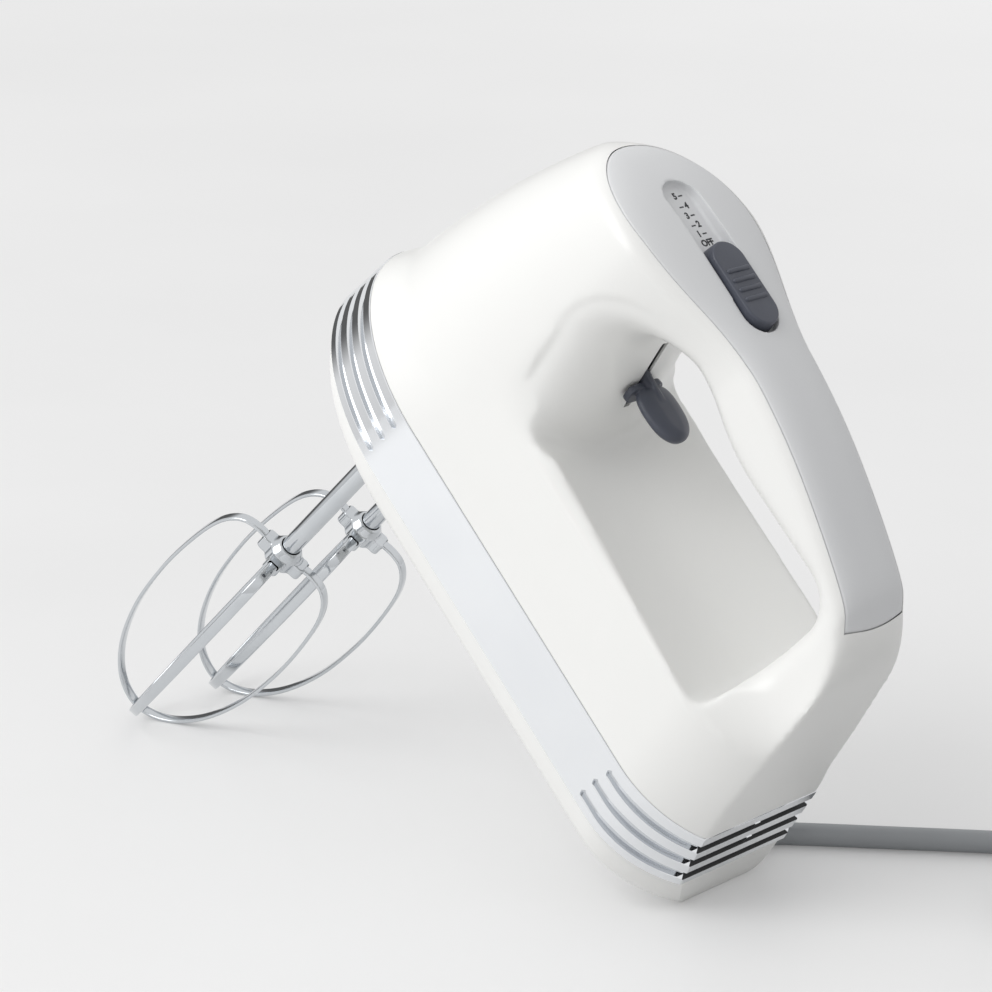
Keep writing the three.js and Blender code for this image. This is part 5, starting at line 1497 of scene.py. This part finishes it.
# ---------------------------------------------------------------- shell
@dataclass(frozen=True)
class Shell:
    """The moulded shell: housing, handle cover, trim band and base.

    Attributes:
        form: The outer form.
        outline: The cover's plan.
        gap: Between pieces that seat on each other.
        wall: The mouldings' thickness.
        cover_t: The handle cover's thickness.
        cover_span: The levels, below and above the cover, that its cutters reach.
        guard: How close to the finger opening the cover's pocket may come.
        ledge: The width of the ledge that carries the cover.
        shelf: The ledge's thickness.
        recess_x: The rear and front ends of the scale's recess.
        recess_half: Half the recess's width.
        recess_z: The height of its floor.
        tray: The wall round and under it.
        stem_slot: The ends of the slot for the slider's stem.
        stem_half: Half that slot's width.
        band_t: The band's thickness.
        grooves: The heights of the band's grooves.
        groove_high: A groove's height.
        groove_deep: A groove's depth.
        groove_nose_x: Where the nose's grooves end.
        groove_rear_x: Where the rear's grooves end.
        slot_half: Half the width of the vents.
        lip_cut: How far a vent cuts its groove's lower lip.
        bridge: The width of the bar that parts a vent.
        bridge_sunk: How far it stands behind the rear face.
        lever_slot: The ends of the lever's slot, in x and z.
        lever_slot_half: Half its width.
        slot_skin: The thickness of the front wall round it.
        screws: The screws' places.
        beaters: The beaters' places.
        swivel: The swivel's place.
    """

    form: ShellForm = ShellForm()
    outline: CoverOutline = CoverOutline()
    gap: float = 0.3
    wall: float = 2.5
    cover_t: float = 3.0
    cover_span: Flat = (70.0, 150.0)
    guard: float = 4.0
    ledge: float = 3.0
    shelf: float = 2.2
    recess_x: Flat = (9.4, 62.6)
    recess_half: float = 7.0
    recess_z: float = 129.6
    tray: float = 1.8
    stem_slot: Flat = (9.6, 38.6)
    stem_half: float = 1.9
    band_t: float = 2.0
    grooves: tuple[float, float, float] = (28.5, 22.8, 17.1)
    groove_high: float = 2.2
    groove_deep: float = 1.1
    groove_nose_x: float = 54.0
    groove_rear_x: float = -63.0
    slot_half: float = 21.0
    lip_cut: float = 0.45
    bridge: float = 2.4
    bridge_sunk: float = 0.05
    lever_slot: tuple[Flat, Flat] = ((15.0, 36.0), (73.0, 98.5))
    lever_slot_half: float = 1.4
    slot_skin: float = 0.8
    screws: tuple[Flat, ...] = ((93.0, 0.0), (-85.0, 15.0), (-85.0, -15.0))
    beaters: tuple[Flat, ...] = ((62.0, 18.0), (62.0, -18.0))
    swivel: Flat = (-61.0, 0.0)

    def build(self, axes: MixerAxes) -> None:
        """Make the four mouldings and set them in the frame.

        Args:
            axes: The mixer's axes in the frame.
        """
        body = self.blank()
        cover = self.cover(body)
        housing = self.housing(body)
        for piece, node, finish, slot in (
            (housing, "main_housing", WHITE_ABS, "white_abs"),
            (cover, "handle_cover", GREY_ABS, "grey_panel"),
            (self.band(), "trim_band", CHROMED_ABS, "chromed_abs"),
            (self.base(), "bottom_cover", WHITE_ABS, "white_abs"),
        ):
            shade(axes.seat(piece))
            finish.dress(piece, slot)
            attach(piece, "housing")
            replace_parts(piece, node)
            log.info("%s: %d faces", piece.name, len(piece.data.polygons))
            # The band's slot floors and ceilings take a painted shade.
            if "unplated" in piece.data.attributes:
                self.bare(piece)

    def bare(self, band: bpy.types.Object) -> None:
        """Give the slots' floors and ceilings a painted shade, matt and dark, as their own finish."""
        band.data.materials.append(PAINTED_SLOT_SHADE.material())
        for face, unplated in zip(band.data.polygons, band.data.attributes["unplated"].data):
            face.material_index = int(unplated.value)

    def blank(self) -> bpy.types.Object:
        """Shape the housing's outer form with its finger opening, its edges eased.

        Returns:
            The blank.
        """
        body = self.form.body("shell_blank", self.form.seam - 7)
        combine(body, Join.CUT, self.form.finger_opening("finger_opening", 0.0))
        return soften(body, 0.8, 14)

    def housing(self, body: bpy.types.Object) -> bpy.types.Object:
        """Hollow the blank and cut the cover's pocket, its hatch and the lever's slot.

        Args:
            body: The blank, which this turns into the housing.

        Returns:
            The housing.
        """
        form = self.form
        bed = moved(copied(body, "cover_bed"), z=-self.cover_t - self.gap)
        body.name = "housing_moulding"
        combine(body, Join.CUT, brick("below_seam", (-140, 140), (-80, 80), (0, form.seam)))
        depth = self.cover_t + self.gap + self.shelf
        cavity = form.body("cavity", form.seam - 1, self.wall, depth, 60)
        combine(cavity, Join.CUT, form.finger_opening("opening_wall", self.wall, 90, 12))
        pocket = prism("pocket", self.outline.points(self.gap), *self.cover_span)
        hatch = prism("hatch", self.outline.points(-self.ledge), *self.cover_span)
        near = form.finger_opening("near_opening", self.guard, 90, 12)
        combine(pocket, Join.CUT, bed, near, keep=True)
        combine(hatch, Join.CUT, moved(bed, z=-self.shelf - 3), near)
        (x0, x1), (z0, z1) = self.lever_slot
        slot = rounded([(x0, z0, 1), (x1, z0, 1), (x1, z1, 1), (x0, z1, 1)])
        half = self.lever_slot_half
        (low_x, low_z, _), (high_x, high_z, _) = form.opening[:2]
        behind = [
            (float(np.interp(z, (low_z, high_z), (low_x, high_x))) + self.slot_skin, z)
            for z in (z1 + 1, z0 - 1)
        ]
        relief = side_prism("slot_relief", np.array([(x1 + 2, z0 - 1), (x1 + 2, z1 + 1), *behind]), -5, 5)
        combine(body, Join.CUT, cavity, pocket, hatch, relief, side_prism("lever_slot", slot, -half, half))
        return self.bossed(body)

    def bossed(self, body: bpy.types.Object) -> bpy.types.Object:
        """Stand the screw posts on the housing's inner face.

        Args:
            body: The hollow housing.

        Returns:
            The housing with its posts.
        """
        reach = self.form.body("boss_reach", self.form.seam - 1, 0.8, 1.0, 40)
        for x, y in self.screws:
            post = moved(turned("boss", [(0, 20), (4, 20), (4, 56), (0, 56)], 24), x, y)
            out = 12 if x > 0 else -12
            web = brick("web", tuple(sorted((x, x + out))), (y - 1.5, y + 1.5), (self.form.seam + 1, 56))
            combine(post, Join.ADD, web)
            combine(post, Join.KEEP, reach, keep=True)
            combine(body, Join.ADD, post)
        discard(reach)
        return body

    def cover(self, body: bpy.types.Object) -> bpy.types.Object:
        """Cut the handle cover from the blank's own surface and sink the speed scale's recess in it.

        Args:
            body: The blank, which stays whole.

        Returns:
            The cover.
        """
        (x0, x1), wall, above = self.recess_x, self.tray, self.cover_span[1]
        skin = copied(body, "handle_cover_moulding")
        inside = copied(body, "tray_blank")
        bed = moved(copied(body, "bed"), z=-self.cover_t)
        combine(skin, Join.KEEP, prism("plan", self.outline.points(0.0), *self.cover_span))
        combine(skin, Join.CUT, bed, self.form.finger_opening("near_opening", self.guard, 90, 12))
        rim = capsule(x0 - wall, x1 + wall, self.recess_half + wall)
        combine(inside, Join.KEEP, prism("tray", rim, self.recess_z - wall, 140))
        combine(skin, Join.ADD, inside)
        combine(skin, Join.CUT, prism("recess", capsule(x0, x1, self.recess_half), self.recess_z, above))
        soften(skin, 0.42, 3)
        slot = brick("stem_slot", self.stem_slot, (-self.stem_half, self.stem_half), (100, above))
        return combine(skin, Join.CUT, slot)

    def groove(self, z: float, nose: bool) -> bpy.types.Object:
        """Return the cutter of one groove, with round ends and a lower lip that leans outward.

        Args:
            z: The groove's height.
            nose: Whether it runs round the nose, and not round the rear.

        Returns:
            The cutter.
        """
        form, half = self.form, self.groove_high / 2
        steps, beyond = 260, 1.5
        inner, outer = form.plan(z, self.groove_deep, steps=steps), form.plan(z, -beyond, steps=steps)
        count = len(inner)
        order = [*range(count // 2 + 1, count), *range(count // 2 + 1)] if nose else list(range(count))
        grooved = inner[:, 0] > self.groove_nose_x if nose else inner[:, 0] < self.groove_rear_x
        kept = [i for i in order if grooved[i]]
        reach = np.concatenate([[0], np.cumsum(np.linalg.norm(np.diff(inner[kept], axis=0), axis=1))])
        rings = []
        for i, at in zip(kept, reach):
            from_end = min(at, reach[-1] - at)
            share = math.sqrt(max(0.004, 1 - max(0.0, 1 - from_end / half) ** 2))
            lift, lip = half * share, (half + 0.75) * share
            (a, b), (c, d) = inner[i][:2], outer[i][:2]
            section = [(a, b, z - lift), (c, d, z - lip - 0.35), (c, d, z + lift), (a, b, z + lift)]
            rings.append(np.array(section))
        return stacked("groove", rings)

    def band(self) -> bpy.types.Object:
        """Make the bright band between base and housing, grooved round the nose and the rear.

        Returns:
            The band.
        """
        form = self.form
        low, high, ease = form.base_top, form.seam - self.gap, 0.25
        straight = [(z, 0) for z in np.linspace(low + 2, high - 2, 9)]
        levels = [(low, ease), (low + ease, 0), *straight, (high - ease, 0), (high, ease)]
        band = stacked("trim_band_plating", [form.plan(z, inset) for z, inset in levels])
        heights = (low - 1, low, (low + high) / 2, high, high + 1)
        combine(band, Join.CUT, stacked("band_core", [form.plan(z, self.band_t) for z in heights]))
        for z in self.grooves:
            combine(band, Join.CUT, self.groove(z, True), self.groove(z, False))
        return self.slotted(band)

    def vent_reach(self) -> Flat:
        """Return how far the cutters of the vents reach along the mixer, through the rear wall."""
        return self.form.rear_at - 20, self.form.rear_at + 14

    def vent_spans(self) -> list[Flat]:
        """Return where the vents run across, on both sides of the bridge."""
        return [(-self.slot_half, -self.bridge / 2), (self.bridge / 2, self.slot_half)]

    def slotted(self, band: bpy.types.Object) -> bpy.types.Object:
        """Open the rear grooves through the band; a bridge parts all but the lowest.

        The floors and ceilings of the slots are marked for a painted shade, matt and dark.

        Args:
            band: The grooved band.

        Returns:
            The band with its vents.
        """
        reach = self.vent_reach()
        high, low = self.groove_high / 2 - 0.15, self.groove_high / 2 + self.lip_cut
        for z in self.grooves:
            bridged = z != min(self.grooves)
            for span in self.vent_spans() if bridged else [(-self.slot_half, self.slot_half)]:
                combine(band, Join.CUT, brick("vent", reach, span, (z - low, z + high)))
            if bridged:
                face = self.form.rear_x(z) + self.bridge_sunk
                depth, across = (face, face + 1.2), (-self.bridge / 2, self.bridge / 2)
                combine(band, Join.ADD, brick("bridge", depth, across, (z - low - 0.4, z + high + 0.3)))
        # Mark the slots' floors and ceilings for painted shade.
        unplated = band.data.attributes.new("unplated", "BOOLEAN", "FACE").data
        for face in band.data.polygons:
            x, y, height = face.center
            inside = any(z - low - 0.05 < height < z + high + 0.2 for z in self.grooves)
            level = abs(face.normal.z) > 0.8
            unplated[face.index].value = inside and level and x < reach[1] and abs(y) < self.slot_half + 0.2
        return band

    def base(self) -> bpy.types.Object:
        """Make the white base: a tub with a rounded lower edge that stands inside the band.

        Returns:
            The base.
        """
        form, lip = self.form, self.band_t + self.gap
        top = form.base_top - self.gap
        edge = [(0, 10, 2.2), (0.35, 9.0, 1.3), (1, 8.2, 0.7), (4, 5, 0), (8.5, 3.1, 0.1), (top, 2, 0.4)]
        base = stacked("base_moulding", [form.plan(z, side, rear) for z, side, rear in through(edge, 5)])
        upper = [form.plan(z, lip) for z in (form.base_top - 1, form.seam - 2 * self.gap)]
        combine(base, Join.ADD, stacked("base_wall", upper))
        inner = lip + self.wall
        hollow = [(self.wall, 10), (5, 5 + self.wall), (form.base_top, inner), (form.seam + 1, inner)]
        combine(base, Join.CUT, stacked("base_hollow", [form.plan(z, side, inner) for z, side in hollow]))
        for x, y in self.screws:
            post = [(0, 1), (4.6, 1), (4.6, 14.2), (0, 14.2)]
            combine(base, Join.ADD, moved(turned("post", post, 32), x, y))
        for x, y in self.screws:
            bore = [(0, -1), (3.2, -1), (3.2, 6), (1.8, 6), (1.8, 40), (0, 40)]
            combine(base, Join.CUT, moved(turned("bore", bore, 32), x, y))
        for x, y in self.beaters:
            combine(base, Join.ADD, moved(turned("sleeve", [(5.3, 1), (8, 1), (8, 8), (5.3, 8)], 40), x, y))
            socket = [(0, -1), (6.3, -1), (5.3, 0.4), (5.3, 30), (0, 30)]
            combine(base, Join.CUT, moved(turned("socket", socket, 40), x, y))
        port = turned("port", [(0, -1), (10.3, -1), (10.3, 30), (0, 30)], 64)
        combine(base, Join.CUT, moved(port, *self.swivel))
        window = (form.base_top + 0.4, form.seam - 1.5)
        for span in self.vent_spans():
            combine(base, Join.CUT, brick("vent_window", self.vent_reach(), span, window))
        return base


# ---------------------------------------------------------------- controls
@dataclass(frozen=True)
class SpeedSlider:
    """The slate thumb slide in the handle cover, and the scale beside it.

    Attributes:
        span: Its rear and front ends, switched off.
        half: Half its width.
        stem: The rear and front face of the stem below it.
        low: Its underside.
        top: Its thumb face.
        edge: The rounding of its rim.
        ribs: Where the grip ribs cross it.
        marks: Each mark of the scale and its place along the recess.
        scale_z: The height of the print.
        scale_y: Its place across the recess.
        letter_mm: The size of its letters.
    """

    span: Flat = (10.3, 39.8)
    half: float = 6.7
    stem: Flat = (10.9, 16.2)
    low: float = 129.9
    top: float = 134.9
    edge: float = 0.7
    ribs: tuple[float, ...] = (29.4, 26.2, 23.0, 19.8)
    marks: tuple[tuple[str, float], ...] = (
        ("OFF", 42.0), ("1 \u2013", 45.2), ("\u2013 2", 48.3),
        ("3 \u2013", 51.6), ("\u2013 4", 54.8), ("5 \u2013", 58.4),
    )
    scale_z: float = 129.62
    scale_y: float = -1.8
    letter_mm: float = 2.9

    def build(self, axes: MixerAxes) -> None:
        """Make the slide and print the scale.

        Args:
            axes: The mixer's axes in the frame.
        """
        slide = self.slide()
        shade(axes.seat(slide), 40)
        SLATE_ABS.dress(slide, "slate_abs")
        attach(slide, "slider")
        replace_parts(slide, "speed_slider")
        for text, x in self.marks:
            self.mark(axes, text, x)
        log.info("speed slider: %d ribs, scale of %d marks", len(self.ribs), len(self.marks))

    def slide(self) -> bpy.types.Object:
        """Shape the slide: a capsule with a rolled rim, four ribs and a stem.

        Returns:
            The slide.
        """
        lean = 0.5
        levels = [(self.low, 0.0), (self.low + 0.2, 0.0), (self.top - self.edge, lean)]
        for i in range(1, 9):
            turn = i / 8 * math.pi / 2
            z, inset = self.top - self.edge * (1 - math.sin(turn)), lean + self.edge * (1 - math.cos(turn))
            levels.append((z, inset))
        x0, x1 = self.span
        rings = [at_height(capsule(x0 + inset, x1 - inset, self.half - inset, 28), z) for z, inset in levels]
        slide = stacked("speed_slider_cap", rings)
        for x in self.ribs:
            combine(slide, Join.ADD, self.rib(x))
        stem = brick("stem", self.stem, (-1.6, 1.6), (122, self.low + 1))
        return combine(slide, Join.ADD, stem)

    def rib(self, x: float) -> bpy.types.Object:
        """Shape one low round rib across the slide.

        Args:
            x: Its place along the mixer.

        Returns:
            The rib.
        """
        reach = self.half - 2.6
        rings = []
        for share, wide in ((-0.25, 0.8), (0.0, 0.78), (0.35, 0.66), (0.55, 0.4), (0.6, 0.2)):
            outline = capsule(-reach - wide, reach + wide, wide, 10)
            height = np.full(len(outline), self.top + share)
            rings.append(np.column_stack([x + outline[:, 1], outline[:, 0], height]))
        return stacked("rib", rings)

    def mark(self, axes: MixerAxes, text: str, x: float) -> None:
        """Print one mark of the scale on the recess floor, its top towards the nose.

        Args:
            axes: The mixer's axes in the frame.
            text: What the mark says.
            x: Its place along the mixer.
        """
        letters = bpy.data.curves.new("mark", "FONT")
        letters.body = text
        letters.size = self.letter_mm
        letters.align_x = letters.align_y = "CENTER"
        letters.extrude = 0.03
        letters.offset = 0.12
        source = placed("mark", letters)
        bpy.context.view_layer.update()
        graph = bpy.context.evaluated_depsgraph_get()
        mesh = bpy.data.meshes.new_from_object(source.evaluated_get(graph))
        bpy.data.objects.remove(source)
        name = "scale_mark_" + "".join(c for c in text.lower() if c.isalnum())
        mark = placed(name, mesh)
        across = Matrix(((0, 1, 0), (-1, 0, 0), (0, 0, 1))).to_4x4()
        mesh.transform(Matrix.Translation((x, self.scale_y, self.scale_z)) @ across)
        axes.seat(mark)
        PRINT_INK.dress(mark, "black_nylon")
        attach(mark, "housing")


@dataclass(frozen=True)
class EjectLever:
    """The slate lever in the opening's front wall: a leaf for the finger, a collar and an arm.

    Attributes:
        leaf_x: The leaf's tip and root.
        leaf_half: Half its width.
        leaf_z: Its height.
        pivot: The pin's place in x and z.
        reach: From the pin to the middle of the arm's round tip.
        half: Half the arm's thickness.
    """

    leaf_x: Flat = (3.9, 23.0)
    leaf_half: float = 8.0
    leaf_z: float = 84.0
    pivot: Flat = (45.0, 86.0)
    reach: float = 16.8
    half: float = 0.85

    def build(self, axes: MixerAxes) -> None:
        """Make the lever and hang it on its body.

        Args:
            axes: The mixer's axes in the frame.
        """
        lever = self.lever()
        shade(axes.seat(lever), 50)
        SLATE_ABS.dress(lever, "slate_abs")
        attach(lever, "ejector")
        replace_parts(lever, "eject_lever")
        log.info("eject lever: %d faces", len(lever.data.polygons))

    def lever(self) -> bpy.types.Object:
        """Shape the lever, its joins eased as moulded.

        Returns:
            The lever.
        """
        x0, x1 = self.leaf_x
        middle, long = (x0 + x1) / 2, (x1 - x0) / 2
        pillow = [(-2.4, 2.4), (-2.1, 1.2), (-1, 0.1), (0.2, 0.3), (1.0, 1.6), (1.6, 3.4), (2.0, 5.4)]
        around = 72
        turns = np.arange(around) / around * 2 * math.pi
        blunter = 0.95 - 0.33 * (1 + np.cos(turns)) / 2
        along, across = (np.sign(f) * np.abs(f) ** blunter for f in (np.cos(turns), np.sin(turns)))
        rings = []
        for z, inset in through(pillow, 3):
            wide = (self.leaf_half - inset) * (0.94 + 0.06 * along)
            outline = np.stack([middle + (long - inset * 0.4) * along, wide * across], axis=1)
            rings.append(at_height(outline, self.leaf_z + z))
        lever = stacked("eject_lever_moulding", rings)
        px, pz = self.pivot
        tip = px + self.reach
        arm = [(x1 - 6, 80.4), (px - 6, 79.6), (px, pz - 4.4), (56, pz - 2)]
        for x, radius, turns in (
            (tip, 2, np.linspace(-math.pi / 2, math.pi / 2, 12)),
            (px, 4.4, np.linspace(0.5 * math.pi, 0.75 * math.pi, 6)),
        ):
            arm += [(x + radius * math.cos(a), pz + radius * math.sin(a)) for a in turns]
        arm.append((x1 - 6, 86.2))
        combine(lever, Join.ADD, side_prism("arm", np.array(arm), -self.half, self.half))
        flange = rounded([(-3, -7.4, 2.8), (3, -7.4, 2.8), (3, 7.4, 2.8), (-3, 7.4, 2.8)])
        bar = turned_by(turned_by(prism("collar", flange, -1.1, 1.1), 90, "Y"), 11.9, "Y")
        combine(lever, Join.ADD, moved(bar, 23.4, 0, 81.6))
        soften(lever, 0.36, 4)
        turns = np.linspace(0, 2 * math.pi, 33)[:-1]
        hole = np.stack([px + 2.3 * np.cos(turns), pz + 2.3 * np.sin(turns)], axis=1)
        return combine(lever, Join.CUT, side_prism("pin_hole", hole, -10, 10))


# ---------------------------------------------------------------- beaters
class Side(Enum):
    """The two beaters."""

    LEFT = 1
    RIGHT = -1


@dataclass(frozen=True)
class Beater:
    """One beater: two crossed hoops of flat wire in a hub, on a stem.

    Attributes:
        side: Which of the two it is.
        x: Its place along the mixer.
        y: Its distance from the middle.
        hub_z: The hub's height.
        stem_r: The stem's radius.
        stem_top: The stem's top.
        phase: How far the hoops are turned, in degrees.
        step: How far above the outer hoop the inner one passes the tip.
        wire: The wire's width and thickness.
        collar_z: The collar's height.
        cage: Radius and height along half a hoop.
    """

    side: Side
    x: float = 62.0
    y: float = 18.0
    hub_z: float = -63.5
    stem_r: float = 3.1
    stem_top: float = 35.7
    phase: float = 22.5
    step: float = 2.2
    wire: Flat = (3.4, 1.2)
    collar_z: float = -8.0
    cage: tuple[Flat, ...] = (
        (3.4, -63.5), (11, -62.4), (17.5, -64.5), (22.2, -72.5), (24.6, -88), (25.2, -106), (23.4, -126),
        (18.2, -144), (10, -156.4), (0, -161),
    )

    def build(self, axes: MixerAxes) -> None:
        """Make the beater's pieces and hang them on its body.

        Args:
            axes: The mixer's axes in the frame.
        """
        name = self.side.name.lower()
        pieces = [
            (self.hoop(0), "hoop_outer", CHROMED_STEEL, "chromed_steel"),
            (self.hoop(1), "hoop_inner", CHROMED_STEEL, "chromed_steel"),
            (self.hub(), "hub", CHROMED_STEEL, "chromed_steel"),
            (self.shaft(), "shaft", CHROMED_STEEL, "chromed_steel"),
        ]
        if self.side is Side.LEFT:
            pieces.append((self.collar(), "collar", SLATE_ABS, "slate_abs"))
        for piece, node, finish, slot in pieces:
            piece.name = f"{name}_beater_{node}"
            shade(axes.seat(moved(piece, self.x, self.side.value * self.y)), 35)
            finish.dress(piece, slot)
            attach(piece, f"beater_{name}")
            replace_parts(piece, f"beater_{name}_{node}")
        log.info("%s beater: %d pieces", name, len(pieces))

    def hoop(self, turn: int) -> bpy.types.Object:
        """Return one hoop: flat wire with round edges, bent from the hub to the tip and back.

        Args:
            turn: 0 for the outer hoop and 1 for the inner one, a quarter turn on.

        Returns:
            The hoop.
        """
        tip = self.cage[-1][1]
        half = [(r, z + self.step * turn * (z - self.hub_z) / (tip - self.hub_z)) for r, z in self.cage]
        line = evenly(through([*half, *[(-r, z) for r, z in reversed(half[:-1])]], 24), 190)
        wide, thick = self.wire[0] / 2, self.wire[1] / 2
        corners = [(wide, -thick), (wide, thick), (-wide, thick), (-wide, -thick)]
        section = rounded([(*corner, 0.5) for corner in corners], 4)
        slope = np.gradient(line, axis=0)
        slope /= np.linalg.norm(slope, axis=1)[:, None]
        rings = []
        for (r, z), (dr, dz) in zip(line, slope):
            rings.append(np.column_stack([r + section[:, 1] * dz, section[:, 0], z - section[:, 1] * dr]))
        return turned_by(stacked("hoop", rings), self.phase + 90 * turn, "Z")

    def hub(self) -> bpy.types.Object:
        """Shape the hub: a turned core with four arms that clasp the wires.

        Returns:
            The hub.
        """
        z, core_r = self.hub_z, 5.0
        profile = [
            (0, z - 4), (core_r - 0.8, z - 4), (core_r, z - 3.7), (core_r + 0.6, z - 2.8),
            (core_r + 0.6, z + 1.8), (core_r, z + 2.8), (core_r - 0.9, z + 4.2), (core_r - 1.5, z + 4.5),
            (0, z + 4.5),
        ]
        hub = turned("hub", profile, 40)
        for turn in (0, 90):
            arm = rounded([(-8.6, -2.8, 1.6), (8.6, -2.8, 1.6), (8.6, 2.8, 1.6), (-8.6, 2.8, 1.6)], 5)
            combine(hub, Join.ADD, turned_by(prism("arm", arm, z - 3, z + 1.8), self.phase + turn, "Z"))
        soften(hub, 0.3, 3)
        gap = 0.3
        for turn in (0, 1):
            grown = Beater(self.side, wire=(self.wire[0] + 2 * gap, self.wire[1] + 2 * gap)).hoop(turn)
            combine(hub, Join.CUT, grown)
        bore = self.stem_r + gap
        seat = turned("seat", [(0, z - 1.8), (bore, z - 1.8), (bore, z + 9), (0, z + 9)], 32)
        return combine(hub, Join.CUT, seat)

    def shaft(self) -> bpy.types.Object:
        """Turn the stem, with the ring groove that the drive grips and its round top.

        Returns:
            The stem.
        """
        r, top, low = self.stem_r, self.stem_top, self.hub_z - 1.5
        profile = [
            (0, low), (r - 0.3, low), (r, low + 0.3), (r, top - 14), (r - 0.7, top - 13), (r - 0.7, top - 11),
            (r, top - 10), (r, top - 2), (r - 0.35, top - 0.9), (r - 1.2, top - 0.15), (r - 2, top), (0, top),
        ]
        return turned("shaft", profile, 32)

    def collar(self) -> bpy.types.Object:
        """Turn the slate collar that marks the left beater.

        Returns:
            The collar.
        """
        a, b, z = self.stem_r + 0.3, self.stem_r + 3, self.collar_z
        lower = [(a, z - 1.5), (b - 0.5, z - 1.5), (b, z - 1)]
        upper = [(b, z + 1), (b - 0.5, z + 1.5), (a, z + 1.5)]
        return turned("collar", lower + upper, 40)


# ---------------------------------------------------------------- cord entry
@dataclass(frozen=True)
class CordEntry:
    """The swivel under the heel and the ribbed strain relief that grows out of it.

    Attributes:
        x: The swivel's place along the mixer.
        radius: Its radius.
        low: Its lowest level.
        yaw: The way the relief points, in degrees from the nose.
        relief_z: The relief's height.
        relief: Where it starts and ends, from the swivel's axis.
    """

    x: float = -61.0
    radius: float = 10.0
    low: float = -12.5
    yaw: float = 225.0
    relief_z: float = -6.5
    relief: Flat = (6.0, 31.0)

    def build(self, axes: MixerAxes) -> None:
        """Make both pieces and hang them on the swivel's body.

        Args:
            axes: The mixer's axes in the frame.
        """
        for piece, node, finish, slot in (
            (self.swivel(), "cord_swivel", WHITE_ABS, "white_abs"),
            (self.sleeve(), "strain_relief", CORD_VINYL, "cord_vinyl"),
        ):
            shade(axes.seat(piece), 40)
            finish.dress(piece, slot)
            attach(piece, "swivel")
            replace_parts(piece, node)
        log.info("cord entry: swivel and strain relief")

    def along_relief(self, piece: bpy.types.Object) -> bpy.types.Object:
        """Lay a piece turned about z along the relief's axis."""
        turned_by(turned_by(piece, 90, "Y"), self.yaw, "Z")
        return moved(piece, self.x, 0, self.relief_z)

    def swivel(self) -> bpy.types.Object:
        """Shape the swivel: a domed drum with a flange that the base holds.

        Returns:
            The swivel.
        """
        r, low = self.radius, self.low
        rise = [(0.01, 0), (3.5, 0.1), (5.5, 0.35), (8.2, 1.6), (9.6, 3.6), (r, 6)]
        dome = through([(out, low + up) for out, up in rise], 4)
        profile = [(0, low), *[(float(a), float(b)) for a, b in dome[1:]]]
        profile += [(r, 2.8), (r + 2.5, 2.8), (r + 2.5, 4.7), (0, 4.7)]
        swivel = moved(turned("cord_swivel_drum", profile, 64), self.x)
        start = self.relief[0] - 2
        pocket = turned("pocket", [(0, start), (5.5, start), (5.5, start + 22), (0, start + 22)], 40)
        return combine(swivel, Join.CUT, self.along_relief(pocket))

    def sleeve(self) -> bpy.types.Object:
        """Shape the strain relief: a tapered sleeve with rings cut nearly through.

        Returns:
            The strain relief.
        """
        a, b = self.relief
        profile = [(0, a - 1.7), (5.2, a - 1.7), (5.2, a + 6)]
        rings = 3
        for i in range(rings):
            at, r = lerp(a + 6, b - 2, i / rings), lerp(5.1, 4.3, i / rings)
            profile += [(r - 0.5, at + 0.4), (r - 0.9, at + 0.8), (r - 0.9, at + 1.7), (r - 0.4, at + 2.0)]
            profile += [(r, at + 2.5), (r - 0.05, at + 4.0), (r - 0.2, at + 4.5)]
        profile += [(4.15, b - 0.8), (4.0, b - 0.2), (3.7, b), (0, b)]
        return self.along_relief(turned("strain_relief_sleeve", profile, 40))


# ---------------------------------------------------------------- inner works
@dataclass(frozen=True)
class InnerWorks:
    """The motor, gears, switch and plug blades, whose CAD solids are shown as they are.

    Attributes:
        frame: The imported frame.
    """

    frame: Mapping[str, Any]

    def slot_of(self, node: bpy.types.Object) -> str | None:
        """Return the record's slot that a CAD node was packed with."""
        for slot in node.material_slots:
            if slot.material:
                name = slot.material.name.split(".")[0]
                if name in SLOT_FINISHES:
                    return name
        return None

    def dress(self) -> None:
        """Give each CAD node the finish of its slot."""
        count = 0
        for name, node in self.frame["nodes"].items():
            slot = self.slot_of(node)
            if slot is None:
                log.warning("%s has no known slot", name)
                continue
            finish = PLATED_BRASS if name.startswith("plug_blade") else SLOT_FINISHES[slot]
            node.data.materials.clear()
            node.data.materials.append(finish.material())
            count += 1
        log.info("inner works: %d nodes dressed", count)


def main() -> None:
    """Build the studio, the lead and every sub-assembly in order."""
    logging.basicConfig(level=logging.INFO, format="%(name)s %(message)s")
    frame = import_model()
    axes = MixerAxes.from_joints(frame["joints"])
    Studio().build(axes)
    InnerWorks(frame).dress()
    MainsLead().build()
    Shell().build(axes)
    SpeedSlider().build(axes)
    EjectLever().build(axes)
    for side in Side:
        Beater(side).build(axes)
    CordEntry().build(axes)


if __name__ == "__main__":
    main()
